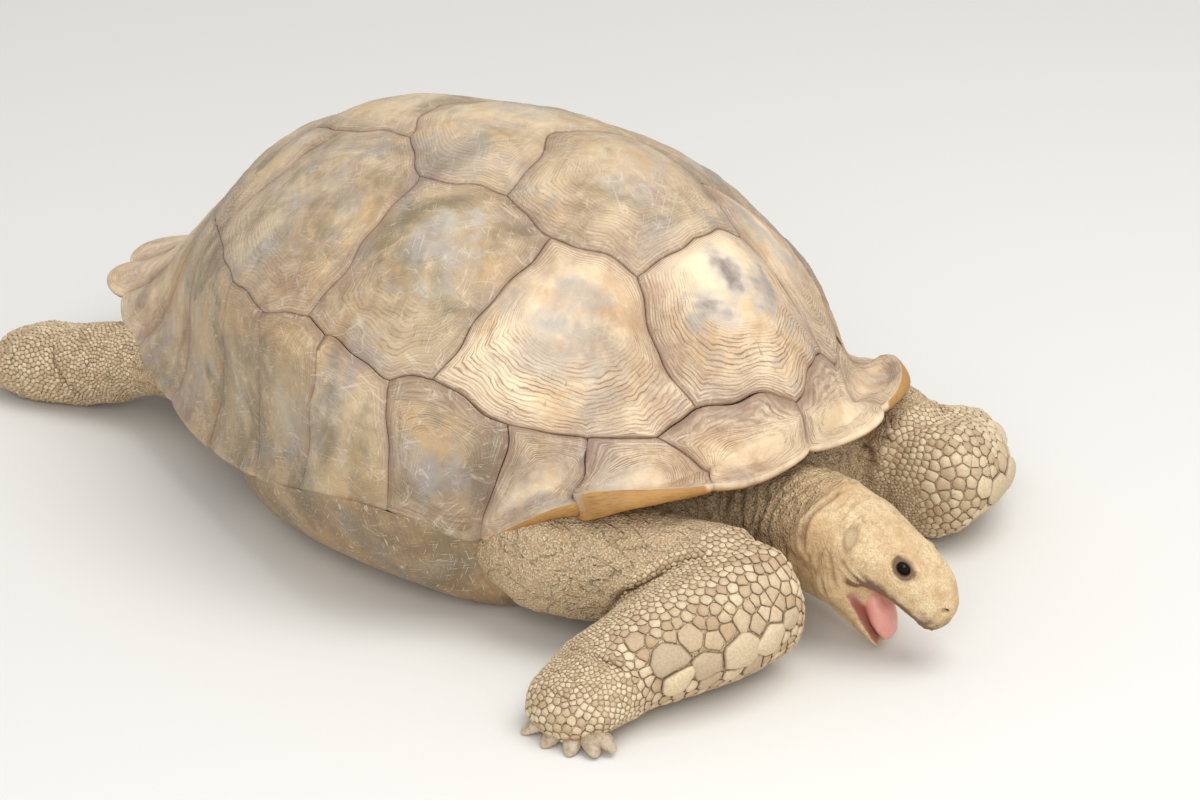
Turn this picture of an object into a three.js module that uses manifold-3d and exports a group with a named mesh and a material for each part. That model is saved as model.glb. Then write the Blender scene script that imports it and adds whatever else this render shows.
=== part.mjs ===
// Adult African spurred tortoise at rest, grazing: shell down on the floor, head lowered and turned,
// mouth open, forelimbs folded outward, hind legs stretched back. A still model, life size.
// Millimetres, +X toward the head, +Y the animal's left, +Z up, floor at z = 0.
import * as THREE from 'three';
import Module from 'manifold-3d';

const wasm = await Module();
wasm.setup();
const DEG = Math.PI / 180;
const GAP = 0.3;            // clear gap between neighbouring pieces

// ---------------------------------------------------------------- the shell as one smooth surface
// theta runs from the front (0) round either side to the back (180); rho runs 0 at the crown,
// 1 at the seam between costals and marginals, 2 at the rim.
const CROWN_X = 10.4;
const CROWN_Z = 307;        // height of the shell over the floor
const SEAM_X = [-38.9, 275.2, -28.5, 13.9];            // cosine sums for the costal-marginal ring
const SEAM_Y = [215.4, -12.5, -12.5, 0.7];             // sine sums
const SEAM_Z = [177.1, -28.5, -6.3, 8.3];
const RIM_X = [-70.9, 332.2, -73.7, 27.8, 18.8];       // and for the rim
const RIM_Y = [253, 19.5, 11.8, 18.8, 11.8];
const RIM_Z = [92.3, 17.4, 14.6, -2.1, 12.5, -3.5, -7.6];
const DOME_POWER = [2.087, -0.658, 0.577, -0.177];     // how square the dome's section is
const FLARE = [-41.8, -8.9, 25.1];                     // slope of the rim, degrees
const CURL_ANGLE = 24;                                 // where the front rim curls up most
const CURL_WIDTH = 11;
const CURL_SLOPE = 62;
const PLATE = 7;            // thickness of a horn plate
const SWELL = 3.5;          // a plate's rise between its seams

const cosSum = (a, t) => a.reduce((s, v, i) => s + v * Math.cos(i * t), 0);
const sinSum = (b, t) => b.reduce((s, v, i) => s + v * Math.sin((i + 1) * t), 0);
const mix = (a, b, t) => a.map((v, i) => v + (b[i] - v) * t);
const add = (a, b, k = 1) => a.map((v, i) => v + b[i] * k);
const sub = (a, b) => add(a, b, -1);
const cross = (a, b) => [a[1] * b[2] - a[2] * b[1], a[2] * b[0] - a[0] * b[2], a[0] * b[1] - a[1] * b[0]];
const unit = (a) => {
  const n = Math.hypot(...a);
  return a.map((v) => v / n);
};
const smooth = (a, b, v) => {
  const t = Math.min(1, Math.max(0, (v - a) / (b - a)));
  return t * t * (3 - 2 * t);
};

function seamRing(t) {
  return [cosSum(SEAM_X, t), sinSum(SEAM_Y, t), cosSum(SEAM_Z, t)];
}

function rimRing(t) {
  return [cosSum(RIM_X, t), sinSum(RIM_Y, t), cosSum(RIM_Z, t)];
}

function shell(p, q) {
  // p, q are the plan coordinates rho cos(theta), rho sin(theta)
  const rho = Math.hypot(p, q);
  const t = Math.atan2(q, p);
  const b = seamRing(t);
  const power = cosSum(DOME_POWER, t);
  if (rho <= 1) {
    return [CROWN_X + rho * (b[0] - CROWN_X), rho * b[1], b[2] + (CROWN_Z - b[2]) * (1 - rho ** power)];
  }
  const c = rimRing(t);
  const w = rho - 1;
  const length = Math.hypot(...sub(c, b));
  const radial = Math.hypot(b[0] - CROWN_X, b[1]);
  const out = [(b[0] - CROWN_X) / radial, b[1] / radial];
  const fall = -(CROWN_Z - b[2]) * power / radial;
  const start = unit([out[0], out[1], fall]);
  const curl = CURL_SLOPE * Math.exp(-(((Math.abs(t) / DEG - CURL_ANGLE) / CURL_WIDTH) ** 2));
  const flare = (cosSum(FLARE, t) + curl) * DEG;
  const end = [out[0] * Math.cos(flare), out[1] * Math.cos(flare), Math.sin(flare)];
  const h0 = 2 * w ** 3 - 3 * w ** 2 + 1;
  const h1 = w ** 3 - 2 * w ** 2 + w;
  const h3 = w ** 3 - w ** 2;
  return b.map((v, i) => h0 * v + h1 * length * start[i] + (1 - h0) * c[i] + h3 * length * end[i]);
}

function shellNormal(p, q) {
  const e = 0.01;
  const du = sub(shell(p + e, q), shell(p - e, q));
  const dv = sub(shell(p, q + e), shell(p, q - e));
  return unit(cross(du, dv));
}

// ---------------------------------------------------------------- building solids
function solid(points, faces) {
  let volume = 0;
  for (const [a, b, c] of faces) {
    const n = cross(points[b], points[c]);
    volume += points[a][0] * n[0] + points[a][1] * n[1] + points[a][2] * n[2];
  }
  const tris = volume > 0 ? faces : faces.map(([a, b, c]) => [a, c, b]);
  const mesh = new wasm.Mesh({
    numProp: 3,
    vertProperties: new Float32Array(points.flat()),
    triVerts: new Uint32Array(tris.flat()),
  });
  return new wasm.Manifold(mesh);
}

// rings of equal count joined in order, each end closed by a fan about its middle or given tip
function loft(rings, tipA, tipB) {
  const n = rings[0].length;
  const middle = (r) => r.reduce((s, v) => add(s, v, 1 / n), [0, 0, 0]);
  const points = [...rings.flat(), tipA ?? middle(rings[0]), tipB ?? middle(rings[rings.length - 1])];
  const faces = [];
  for (let k = 0; k < rings.length - 1; k += 1) {
    for (let i = 0; i < n; i += 1) {
      const a = k * n + i;
      const b = k * n + (i + 1) % n;
      faces.push([a, b, b + n], [a, b + n, a + n]);
    }
  }
  const last = (rings.length - 1) * n;
  for (let i = 0; i < n; i += 1) {
    const j = (i + 1) % n;
    faces.push([j, i, points.length - 2], [last + i, last + j, points.length - 1]);
  }
  return solid(points, faces);
}

// a limb: round sections of given half width and half height set along a bending line
function tube(stations, sides, grow = 0) {
  const n = stations.length;
  const rings = stations.map(([c, wide, high], k) => {
    const before = stations[Math.max(0, k - 1)][0];
    const after = stations[Math.min(n - 1, k + 1)][0];
    const along = unit(sub(after, before));
    const side = unit(cross([0, 0, 1], along));
    const up = cross(along, side);
    return Array.from({ length: sides }, (_, i) => {
      const a = (2 * Math.PI * (i + 0.5)) / sides;
      const point = add(c, side, (wide + grow) * Math.cos(a));
      return add(point, up, (high + grow) * Math.sin(a));
    });
  });
  const first = stations[0];
  const last = stations[n - 1];
  const inward = unit(sub(stations[1][0], first[0]));
  const onward = unit(sub(last[0], stations[n - 2][0]));
  const tipA = add(first[0], inward, -0.45 * first[1] - grow);
  const tipB = add(last[0], onward, 0.45 * last[1] + grow);
  return loft(rings, tipA, tipB);
}

function ball(centre, radius, sides = 12) {
  const rings = [];
  for (let k = 1; k < sides / 2; k += 1) {
    const a = (2 * Math.PI * k) / sides;
    rings.push(Array.from({ length: sides }, (_, i) => {
      const b = (2 * Math.PI * i) / sides;
      const r = radius * Math.sin(a);
      return add(centre, [r * Math.cos(b), r * Math.sin(b), radius * Math.cos(a)]);
    }));
  }
  return loft(rings, add(centre, [0, 0, radius]), add(centre, [0, 0, -radius]));
}

// a blunt curved horn: claw or spur, from a root inside the skin out to its tip
function horn(root, way, size, length, droop) {
  const along = unit(way);
  const side = unit(cross([0, 0, 1], along));
  const up = cross(along, side);
  const rings = [[-0.5, 1], [0.35, 0.95], [0.75, 0.6]].map(([t, r]) => {
    const c = add(add(root, along, t * length), [0, 0, -1], droop * Math.max(0, t) ** 2);
    return Array.from({ length: 6 }, (_, i) => {
      const a = (Math.PI * i) / 3;
      return add(add(c, side, size * r * Math.cos(a)), up, size * 0.8 * r * Math.sin(a));
    });
  });
  return loft(rings, undefined, add(add(root, along, length), [0, 0, -1], droop));
}

const box = (x0, x1, y0, y1, z0, z1) => loft([z0, z1].map((z) => [
  [x0, y0, z], [x1, y0, z], [x1, y1, z], [x0, y1, z],
]));
const largest = (body) => body.decompose().sort((a, b) => b.volume() - a.volume())[0];
const union = (list) => list.reduce((a, b) => a.add(b));
const without = (body, ...cutters) => largest(cutters.reduce((a, b) => a.subtract(b), body));

// ---------------------------------------------------------------- the horn plates
// where seams meet: [rho, theta]; mirrored on the animal's left
const MEET = {
  v1tip: [0.977, 0], notch: [1.84, 0], v1v2: [0.516, 0],
  v1c1m1: [0.947, 27.2], v1v2c1: [0.607, 33.8], v2c1c2: [0.467, 62], v2v3c2: [0.345, 93],
  v3c2c3: [0.494, 124], v3v4c3: [0.475, 146.2], v4c3c4: [0.644, 157.6], v4v5c4: [0.745, 168],
  v5c4m: [0.985, 160], v2v3: [0.1, 180], v3v4: [0.43, 180], v4v5: [0.74, 180],
  m12: [1.02, 35.8], m23: [1.041, 47.8], m34: [1.0, 61.2], c12m: [0.936, 76.4], m45: [0.978, 83.5],
  m56: [0.963, 100], c23m: [0.953, 105.9], m67: [1.053, 114.4], m78: [1.069, 126.5],
  c34m: [1.014, 143.6], m89: [1.03, 148], m910: [1.01, 155.5], m1011: [1.0, 164], m11s: [1.01, 171.5],
  r12: [2.0, 12.8], r23: [1.985, 31.1], r34: [2.01, 59.1], r45: [1.99, 85.4], r56: [2.01, 102.9],
  r67: [2.0, 112.5], r78: [2.0, 122.5], r89: [1.98, 133], r910: [1.97, 144.5], r1011: [1.96, 156.7],
  r11s: [1.96, 168.8], s: [1.0, 180],
};
// how far each marginal's free edge bows out past the line between its seams
const BOW = {
  'notch-r12': 0.15, 'r12-r23': 0.05, 'r78-r89': 0.03, 'r89-r910': 0.05, 'r910-r1011': 0.06,
  'r1011-r11s': 0.12, 'r11s-r11s': 0.13,
};
const EDGE = 46;            // longest straight piece of a seam

function meet(name, side) {
  const [rho, theta] = MEET[name];
  const t = theta * DEG * side;
  return [rho * Math.cos(t), rho * Math.sin(t)];
}

// the seam from one meeting point to the next, without its last point
function seam(nameA, sideA, nameB, sideB) {
  const a = meet(nameA, sideA);
  const b = meet(nameB, sideB);
  const forward = BOW[`${nameA}-${nameB}`];
  const bow = forward ?? BOW[`${nameB}-${nameA}`];
  const rimEdge = bow !== undefined || (nameA[0] === 'r' && nameB[0] === 'r');
  const span = Math.hypot(...sub(shell(...a), shell(...b)));
  const pieces = Math.max(1, Math.round(span / EDGE)) + (rimEdge ? 1 : 0);
  return Array.from({ length: pieces }, (_, i) => {
    const f = i / pieces;
    if (!rimEdge) {
      return mix(a, b, f);
    }
    const ra = Math.hypot(...a);
    const rb = Math.hypot(...b);
    const ta = Math.atan2(a[1], a[0]);
    let tb = Math.atan2(b[1], b[0]);
    if (Math.abs(tb - ta) > Math.PI) {
      tb += tb < ta ? 2 * Math.PI : -2 * Math.PI;
    }
    const rho = ra + (rb - ra) * f + (bow ?? 0) * Math.sin(Math.PI * f) ** 0.7;
    const t = ta + (tb - ta) * f;
    return [rho * Math.cos(t), rho * Math.sin(t)];
  });
}

// corners: list of [name, side]; grow fattens the plate on every side for cutting clearances
function plate(corners, grow = 0, lift = SWELL) {
  const edge = corners.flatMap(([name, side], i) => {
    const [next, nextSide] = corners[(i + 1) % corners.length];
    return seam(name, side, next, nextSide);
  });
  const n = edge.length;
  const centre = edge.reduce((s, v) => add(s, v, 1 / n), [0, 0]);
  const shrunk = edge.map((e) => {
    const reach = Math.hypot(...sub(shell(...e), shell(...centre)));
    return mix(centre, e, 1 - (0.25 - grow * 1.3) / reach);
  });
  const raise = (pq, height) => add(shell(...pq), shellNormal(...pq), height);
  const rim = shrunk.map((pq) => raise(pq, grow));
  const mid = shrunk.map((pq) => raise(mix(centre, pq, 0.55), grow + lift));
  const under = shrunk.map((pq) => raise(pq, -PLATE - grow));
  const points = [...mid, ...rim, ...under, raise(centre, grow + lift * 1.3), raise(centre, -PLATE - grow)];
  const faces = [];
  for (let i = 0; i < n; i += 1) {
    const j = (i + 1) % n;
    faces.push([i, j, 3 * n]);
    faces.push([i, n + i, n + j], [i, n + j, j]);
    // the wall's diagonal runs the same way on both plates that share it
    if (edge[i][0] + edge[i][1] * 0.37 < edge[j][0] + edge[j][1] * 0.37) {
      faces.push([n + i, 2 * n + i, 2 * n + j], [n + i, 2 * n + j, n + j]);
    } else {
      faces.push([n + i, 2 * n + i, n + j], [n + j, 2 * n + i, 2 * n + j]);
    }
    faces.push([2 * n + j, 2 * n + i, 3 * n + 1]);
  }
  return solid(points, faces);
}

const L = 1;
const R = -1;
const across = (names) => [
  ...names.map((v) => [v, R]),
  ...[...names].reverse().filter((v) => MEET[v][1] % 180 !== 0).map((v) => [v, L]),
];
const SCUTES = {
  vertebral_1: across(['v1tip', 'v1c1m1', 'v1v2c1', 'v1v2']),
  vertebral_2: across(['v1v2', 'v1v2c1', 'v2c1c2', 'v2v3c2', 'v2v3']),
  vertebral_3: across(['v2v3', 'v2v3c2', 'v3c2c3', 'v3v4c3', 'v3v4']),
  vertebral_4: across(['v3v4', 'v3v4c3', 'v4c3c4', 'v4v5c4', 'v4v5']),
  vertebral_5: across(['v4v5', 'v4v5c4', 'v5c4m', 'm1011', 'm11s', 's']),
  supracaudal: [['m11s', R], ['s', R], ['m11s', L], ['r11s', L], ['r11s', R]],
};
const SIDED = {
  costal_1: ['v1c1m1', 'm12', 'm23', 'm34', 'c12m', 'v2c1c2', 'v1v2c1'],
  costal_2: ['c12m', 'm45', 'm56', 'c23m', 'v3c2c3', 'v2v3c2', 'v2c1c2'],
  costal_3: ['c23m', 'm67', 'm78', 'c34m', 'v4c3c4', 'v3v4c3', 'v3c2c3'],
  costal_4: ['c34m', 'm89', 'm910', 'v5c4m', 'v4v5c4', 'v4c3c4'],
  marginal_01: ['notch', 'r12', 'm12', 'v1c1m1', 'v1tip'],
  marginal_02: ['r12', 'r23', 'm23', 'm12'],
  marginal_03: ['r23', 'r34', 'm34', 'm23'],
  marginal_04: ['r34', 'r45', 'm45', 'c12m', 'm34'],
  marginal_05: ['r45', 'r56', 'm56', 'm45'],
  marginal_06: ['r56', 'r67', 'm67', 'c23m', 'm56'],
  marginal_07: ['r67', 'r78', 'm78', 'm67'],
  marginal_08: ['r78', 'r89', 'm89', 'c34m', 'm78'],
  marginal_09: ['r89', 'r910', 'm910', 'm89'],
  marginal_10: ['r910', 'r1011', 'm1011', 'v5c4m', 'm910'],
  marginal_11: ['r1011', 'r11s', 'm11s', 'm1011'],
};
for (const [name, corners] of Object.entries(SIDED)) {
  SCUTES[`${name}_right`] = corners.map((v) => [v, R]);
  SCUTES[`${name}_left`] = corners.map((v) => [v, L]);
}
const liftOf = (name) => (name.startsWith('marginal') || name.startsWith('supra') ? 1.2 : SWELL);
const platesWhere = (test, grow) => union(Object.keys(SCUTES).filter(test)
  .map((name) => plate(SCUTES[name], grow, liftOf(name))));

// ---------------------------------------------------------------- the plastron and its bridges
// stations from front to back: [x, half width of the flat underside, half width of the edge,
// height of the edge, rise of the whole section]
const BRIDGE_THETA = [61, 70, 80, 90, 98, 106, 114, 121];
const LOBE_FRONT = [
  [206, 26, 38, 9, 22], [178, 48, 66, 9, 16], [150, 72, 92, 10, 9], [124, 92, 114, 12, 3],
];
const LOBE_BACK = [
  [-214, 98, 124, 13, 0], [-270, 92, 118, 12, 1], [-340, 66, 92, 10, 4], [-392, 34, 56, 9, 9],
];
const FLOOR_PLATE = 12;     // plastron thickness

function plastron(grow = 0) {
  const bridge = BRIDGE_THETA.map((theta) => {
    const t = theta * DEG;
    const edge = shell(2.02 * Math.cos(t), 2.02 * Math.sin(t));
    return [edge[0], 164, edge[1] - 2, edge[2] - 1.5, 0];
  });
  const stations = [...LOBE_FRONT, ...bridge, ...LOBE_BACK];
  const rings = stations.map(([x, flat, wide, high, rise], k) => {
    const end = k === 0 ? grow : 0;
    const px = x + (k === stations.length - 1 ? -grow : end);
    const half = [
      [flat + grow * 0.4, rise - grow],
      [(flat + wide) / 2 + grow, rise + high * 0.42 - grow * 0.7],
      [wide + grow, rise + high + grow],
      [wide - 9 - grow, rise + high + (high > 20 ? -4 : 3) + grow],
      [flat - 6 - grow * 0.4, rise + FLOOR_PLATE + grow],
    ];
    return [...half.map(([y, z]) => [px, -y, z]), ...[...half].reverse().map(([y, z]) => [px, y, z])];
  });
  return loft(rings);
}

// ---------------------------------------------------------------- the trunk inside the shell
function trunk(grow = 0) {
  const count = 28;
  const inner = (rho, t, depth) => {
    const pq = [rho * Math.cos(t), rho * Math.sin(t)];
    return add(shell(...pq), shellNormal(...pq), -depth + grow);
  };
  const ringAt = (rho) => Array.from({ length: count }, (_, i) => {
    const t = (2 * Math.PI * (i + 0.5)) / count;
    if (typeof rho === 'number') {
      return inner(rho, t, PLATE + 4.5);
    }
    const angle = Math.abs(((t / DEG + 180) % 360) - 180);
    const side = smooth(56, 66, angle) * (1 - smooth(116, 126, angle));
    const out = [Math.cos(t), Math.sin(t)];
    const foot = [-66 + (out[0] > 0 ? 190 : 270) * out[0], (132 + 14 * side) * out[1]];
    if (rho === 'foot') {
      return [foot[0] + grow * out[0], foot[1] + grow * out[1], FLOOR_PLATE + 6 - grow];
    }
    const wall = shell(1.7 * out[0], 1.7 * out[1]);
    if (rho === 'waist') {
      const free = [foot[0] * 0.96 + 6 * out[0], foot[1] * 0.98, 62];
      const closed = [wall[0] * 0.97 - 3, wall[1] - 34 * Math.sign(out[1]), 58];
      return add(mix(free, closed, side), [out[0], out[1], 0], grow);
    }
    const free = add(mix([foot[0], foot[1], 110], wall, 0.35), [0, 0, 6]);
    const closed = inner(1.7, t, PLATE + 6 + grow);
    return add(mix(free, closed, side), [out[0], out[1], 0.3], grow);
  });
  const rings = [0.35, 0.7, 1.0, 1.28, 'shoulder', 'waist', 'foot'].map(ringAt);
  return loft(rings, inner(0, 0, PLATE + 4.5), [-66, 0, FLOOR_PLATE + 6 - grow]);
}

// ---------------------------------------------------------------- head, jaw, tongue and eyes
const HEAD_AT = [295, -25, 120.5];          // top of the back of the head
const HEAD_FORWARD = unit([0.771, 0.124, -0.625]);
const HEAD_LEFT = unit([-0.159, 0.987, 0]);
const HEAD_UP = cross(HEAD_FORWARD, HEAD_LEFT);
const EYE = { forward: 65, side: 21.5, up: 1.5, radius: 8.2 };
// [forward, top, underside, half width, half width of the crown]
const SKULL = [
  [-8, -7, -62, 33, 17], [6, -1, -60, 36.5, 20], [24, 5.5, -52, 38, 23], [42, 8, -42, 35.5, 24],
  [57, 9, -33, 30.5, 24], [68, 8.5, -26, 27.5, 22.5], [82, 6.5, -22, 24.5, 17], [96, 2.5, -26.5, 20, 12],
  [106, -1.5, -33.5, 14.5, 8], [112.5, -9, -34, 8, 4.5],
];
const JAW = [
  [34, -54, -78, 29], [50, -47, -74, 28], [66, -49, -70, 24], [82, -55.5, -68, 18], [94, -60, -67.5, 10],
];
const TONGUE = [[52, -44, 11], [66, -45.5, 12.5], [80, -50, 11.5], [91, -56, 9], [97, -60.5, 5.5]];

function onHead(forward, left, up) {
  return add(add(add(HEAD_AT, HEAD_FORWARD, forward), HEAD_LEFT, left), HEAD_UP, up);
}

function skull(grow = 0) {
  return loft(SKULL.map(([f, top, low, wide, crown]) => {
    const cheek = top - (top - low) * 0.4;
    const half = [
      [0, top + grow], [crown * 0.6, top - 1 + grow], [crown + grow, top - 7], [wide + grow, cheek],
      [wide * 0.97 + grow, low + (top - low) * 0.2], [wide * 0.8 + grow, low - grow],
    ];
    const left = half.map(([y, z]) => onHead(f, y, z));
    const right = half.slice(1).reverse().map(([y, z]) => onHead(f, -y, z));
    return [...left, ...right];
  }), onHead(-14 - grow, 0, -32), onHead(114.5 + grow, 0, -20));
}

function lowerJaw(grow = 0) {
  return loft(JAW.map(([f, top, low, wide]) => {
    const half = [
      [0, top - 3 + grow], [wide * 0.62, top + grow], [wide + grow, top - 2],
      [wide * 0.85 + grow, (top + low) / 2], [wide * 0.5, low - grow],
    ];
    const left = half.map(([y, z]) => onHead(f, y, z));
    return [...left, ...half.slice(1).reverse().map(([y, z]) => onHead(f, -y, z))];
  }));
}

function tongue(grow = 0) {
  return loft(TONGUE.map(([f, mid, wide]) => Array.from({ length: 8 }, (_, i) => {
    const a = (2 * Math.PI * (i + 0.5)) / 8;
    return onHead(f, (wide + grow) * Math.cos(a), mid + 2 + (5.5 + grow) * Math.sin(a));
  })));
}

// ---------------------------------------------------------------- neck, limbs and tail
const NECK = [
  [[120, 0, 72], 44, 38], [[175, 0, 68], 44, 40], [[225, -4, 66], 43, 42], [[268, -14, 68], 42, 45],
  [[304, -24, 66], 37, 42],
];
const LIMBS = {
  right: {
    upper: [[[84, -158, 74], 40, 30], [[130, -160, 72], 44, 38], [[185, -138, 62], 46, 42], [[248, -111, 55], 44, 44]],
    fore: [[[271, -104, 53], 41, 44], [[267, -149, 49], 44, 43], [[256, -196, 42], 42, 37], [[249, -222, 37], 38, 32]],
    hand: [[[248, -222, 34], 37, 31], [[246, -248, 28], 40, 27.5], [[244, -272, 21], 37, 20.5], [[243, -284, 15], 28, 14]],
  },
  left: {
    upper: [[[78, 160, 76], 40, 30], [[120, 166, 74], 43, 38], [[165, 166, 66], 45, 43], [[206, 158, 56], 43, 44]],
    fore: [[[236, 142, 52], 40, 43], [[226, 178, 50], 44, 42], [[202, 214, 45], 42, 38], [[188, 234, 39], 38, 33]],
    hand: [[[186, 236, 35], 37, 32], [[172, 256, 29], 40, 28], [[158, 276, 21.5], 37, 21], [[151, 286, 15], 28, 14]],
  },
};
const HIND = {
  thigh: [[[-236, 116, 70], 34, 30], [[-290, 112, 66], 38, 32], [[-345, 107, 58], 36, 29], [[-376, 106, 53], 33, 28]],
  shank: [[[-378, 106, 52.5], 33, 28], [[-408, 112, 44], 35, 31], [[-440, 122, 36], 36, 33], [[-456, 126, 33], 36, 32]],
  foot: [[[-458, 127, 33], 37, 32], [[-482, 134, 30], 37, 31], [[-504, 139, 25], 31, 25.5], [[-516, 141, 20], 20, 17]],
};
const HIND_LEFT_SHIFT = [26, -6, 0];        // the far leg is drawn up a little more
const TAIL = [
  [[-360, 0, 62], 26, 22], [[-404, 4, 52], 22, 18], [[-440, 8, 38], 15, 12], [[-462, 12, 28], 8, 7],
];
const ARM_SCALES = [
  [0.03, 60, 11], [0.2, 47, 14], [0.45, 43, 17], [0.7, 40, 12], [0.9, 35, 9], [0.93, 51, 9],
];
const LIMB_SIDES = 10;

const mirrored = (stations, shift = [0, 0, 0], side = -1) => stations.map(([c, w, h]) => [
  add([c[0], c[1] * side, c[2]], shift), w, h]);

// ---------------------------------------------------------------- put together
const tortoise = new THREE.Group();
tortoise.name = 'sulcata_tortoise';
const HORN = ['#a78f75', 0.6];
const BELLY = ['#b59a6c', 0.6];
const SKIN = ['#a08b6c', 0.85];
const WET = ['#b8685f', 0.35];
const EYEBALL = ['#1c1412', 0.12];
const pieces = [];
function keep(name, body, [colour, roughness]) {
  pieces.push({ name, body, colour, roughness });
}

for (const [name, corners] of Object.entries(SCUTES)) {
  keep(name, plate(corners, 0, liftOf(name)), HORN);
}
const frontPlates = platesWhere((v) => /marginal_0[1-5]|costal_1/.test(v), GAP + 0.3);
const rearPlates = platesWhere((v) => /marginal_(0[6-9]|1)|costal_4|supra|vertebral_5/.test(v), GAP + 0.3);
const allPlates = platesWhere(() => true, GAP + 0.1);
const belly = plastron();
const bellyRoom = plastron(GAP * 8);
const core = without(trunk(), bellyRoom, allPlates);
const coreRoom = trunk(GAP);
const floorRoom = box(-700, 700, -500, 500, -200, 0);
keep('plastron', without(belly, allPlates), BELLY);
keep('trunk', core, SKIN);

const eyes = { right: onHead(EYE.forward, -EYE.side, EYE.up), left: onHead(EYE.forward, EYE.side, EYE.up) };
const jawRoom = lowerJaw(GAP);
const tongueRoom = tongue(GAP);
const socketRadius = EYE.radius + GAP + 0.3;
keep('head', without(skull(), ball(eyes.right, socketRadius), ball(eyes.left, socketRadius)), SKIN);
keep('lower_jaw', without(lowerJaw(), skull(GAP), tongueRoom, floorRoom), SKIN);
keep('tongue', without(tongue(), skull(GAP)), WET);
keep('eye_right', ball(eyes.right, EYE.radius), EYEBALL);
keep('eye_left', ball(eyes.left, EYE.radius), EYEBALL);
const throatRooms = [skull(GAP + 0.2), jawRoom, tongueRoom, coreRoom, frontPlates, bellyRoom, floorRoom];
keep('neck', without(tube(NECK, 14), ...throatRooms), SKIN);
const neckRoom = tube(NECK, 14, GAP + 0.2);

for (const side of ['right', 'left']) {
  const limb = LIMBS[side];
  const s = side === 'right' ? -1 : 1;
  const rooms = [coreRoom, frontPlates, bellyRoom, neckRoom, jawRoom, floorRoom];
  const fore = tube(limb.fore, LIMB_SIDES);
  const foreRoom = tube(limb.fore, LIMB_SIDES, GAP + 0.2);
  const hand = tube(limb.hand, LIMB_SIDES);
  const tip = limb.hand[2][0];
  const end = limb.hand[3][0];
  const way = unit(sub(end, limb.hand[0][0]));
  const front = unit(cross(way, [0, 0, s]));
  // five blunt claws fan from straight outward round to the front
  const claws = [-24, 6, 34, 62, 88].map((degrees) => {
    const reach = [Math.cos(degrees * DEG), Math.sin(degrees * DEG)];
    const root = add(add([tip[0], tip[1], 10], way, 12 * reach[0]), front, 29 * reach[1]);
    const fan = add(way.map((v) => v * reach[0]), front, reach[1]);
    return horn(root, [fan[0], fan[1], -0.12], 7.5, 19, 3);
  });
  // smooth horny scales along the forearm's front edge: [way down the forearm, height, size]
  const spurs = ARM_SCALES.map(([t, high, size]) => {
    const c = mix(limb.fore[0][0], limb.fore[3][0], t);
    const root = add([c[0], c[1], high], front, 35);
    return horn(root, add(front, [0, 0, -0.15]), size, 12, 1.5);
  });
  keep(`upper_arm_${side}`, without(tube(limb.upper, LIMB_SIDES), foreRoom, ...rooms), SKIN);
  const handRoom = tube(limb.hand, LIMB_SIDES, GAP + 0.2);
  keep(`forearm_${side}`, without(union([fore, ...spurs]), ...rooms, handRoom), SKIN);
  keep(`forefoot_${side}`, without(union([hand, ...claws]), floorRoom), SKIN);

  const shift = side === 'right' ? [0, 0, 0] : HIND_LEFT_SHIFT;
  const thigh = mirrored(HIND.thigh, shift, s);
  const shank = mirrored(HIND.shank, shift, s);
  const foot = mirrored(HIND.foot, shift, s);
  const rearRooms = [coreRoom, rearPlates, bellyRoom, floorRoom];
  const spursBack = [[-318, 12], [-334, 4], [-349, 14]].map(([x, high]) => {
    const root = add([x, s * 80, 50 + high], shift);
    return horn(root, [-0.75, -0.6 * s, 0], 7, 20, 2);
  });
  const toes = [-1.4, -0.45, 0.5, 1.4].map((k) => {
    const root = add([-507 + 4 * k * k, s * (140 + k * 13), 12], shift);
    return horn(root, [-1, s * (0.12 + 0.25 * k), -0.1], 7, 24, 2.5);
  });
  const shankRoom = tube(shank, LIMB_SIDES, GAP + 0.2);
  const footRoom = tube(foot, LIMB_SIDES, GAP + 0.2);
  keep(`thigh_${side}`, without(union([tube(thigh, LIMB_SIDES), ...spursBack]), shankRoom, ...rearRooms), SKIN);
  keep(`shank_${side}`, without(tube(shank, LIMB_SIDES), footRoom, ...rearRooms), SKIN);
  keep(`hind_foot_${side}`, without(union([tube(foot, LIMB_SIDES), ...toes]), ...rearRooms), SKIN);
}
keep('tail', without(tube(TAIL, 8), coreRoom, rearPlates, bellyRoom, floorRoom), SKIN);

// the box of the whole animal is centred on the origin in plan
const span = [[Infinity, -Infinity], [Infinity, -Infinity]];
for (const { body } of pieces) {
  const { min, max } = body.boundingBox();
  for (const k of [0, 1]) {
    span[k][0] = Math.min(span[k][0], min[k]);
    span[k][1] = Math.max(span[k][1], max[k]);
  }
}
const middle = span.map(([low, high]) => Math.round((low + high) * 5) / 10);
for (const { name, body, colour, roughness } of pieces) {
  const mesh = body.translate([-middle[0], -middle[1], 0]).getMesh();
  const geometry = new THREE.BufferGeometry();
  geometry.setAttribute('position', new THREE.BufferAttribute(mesh.vertProperties.slice(), 3));
  geometry.setIndex(Array.from(mesh.triVerts));
  const material = new THREE.MeshStandardMaterial({ color: colour, roughness, metalness: 0 });
  const part = new THREE.Mesh(geometry, material);
  part.name = name;
  tortoise.add(part);
}

export default tortoise;
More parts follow.
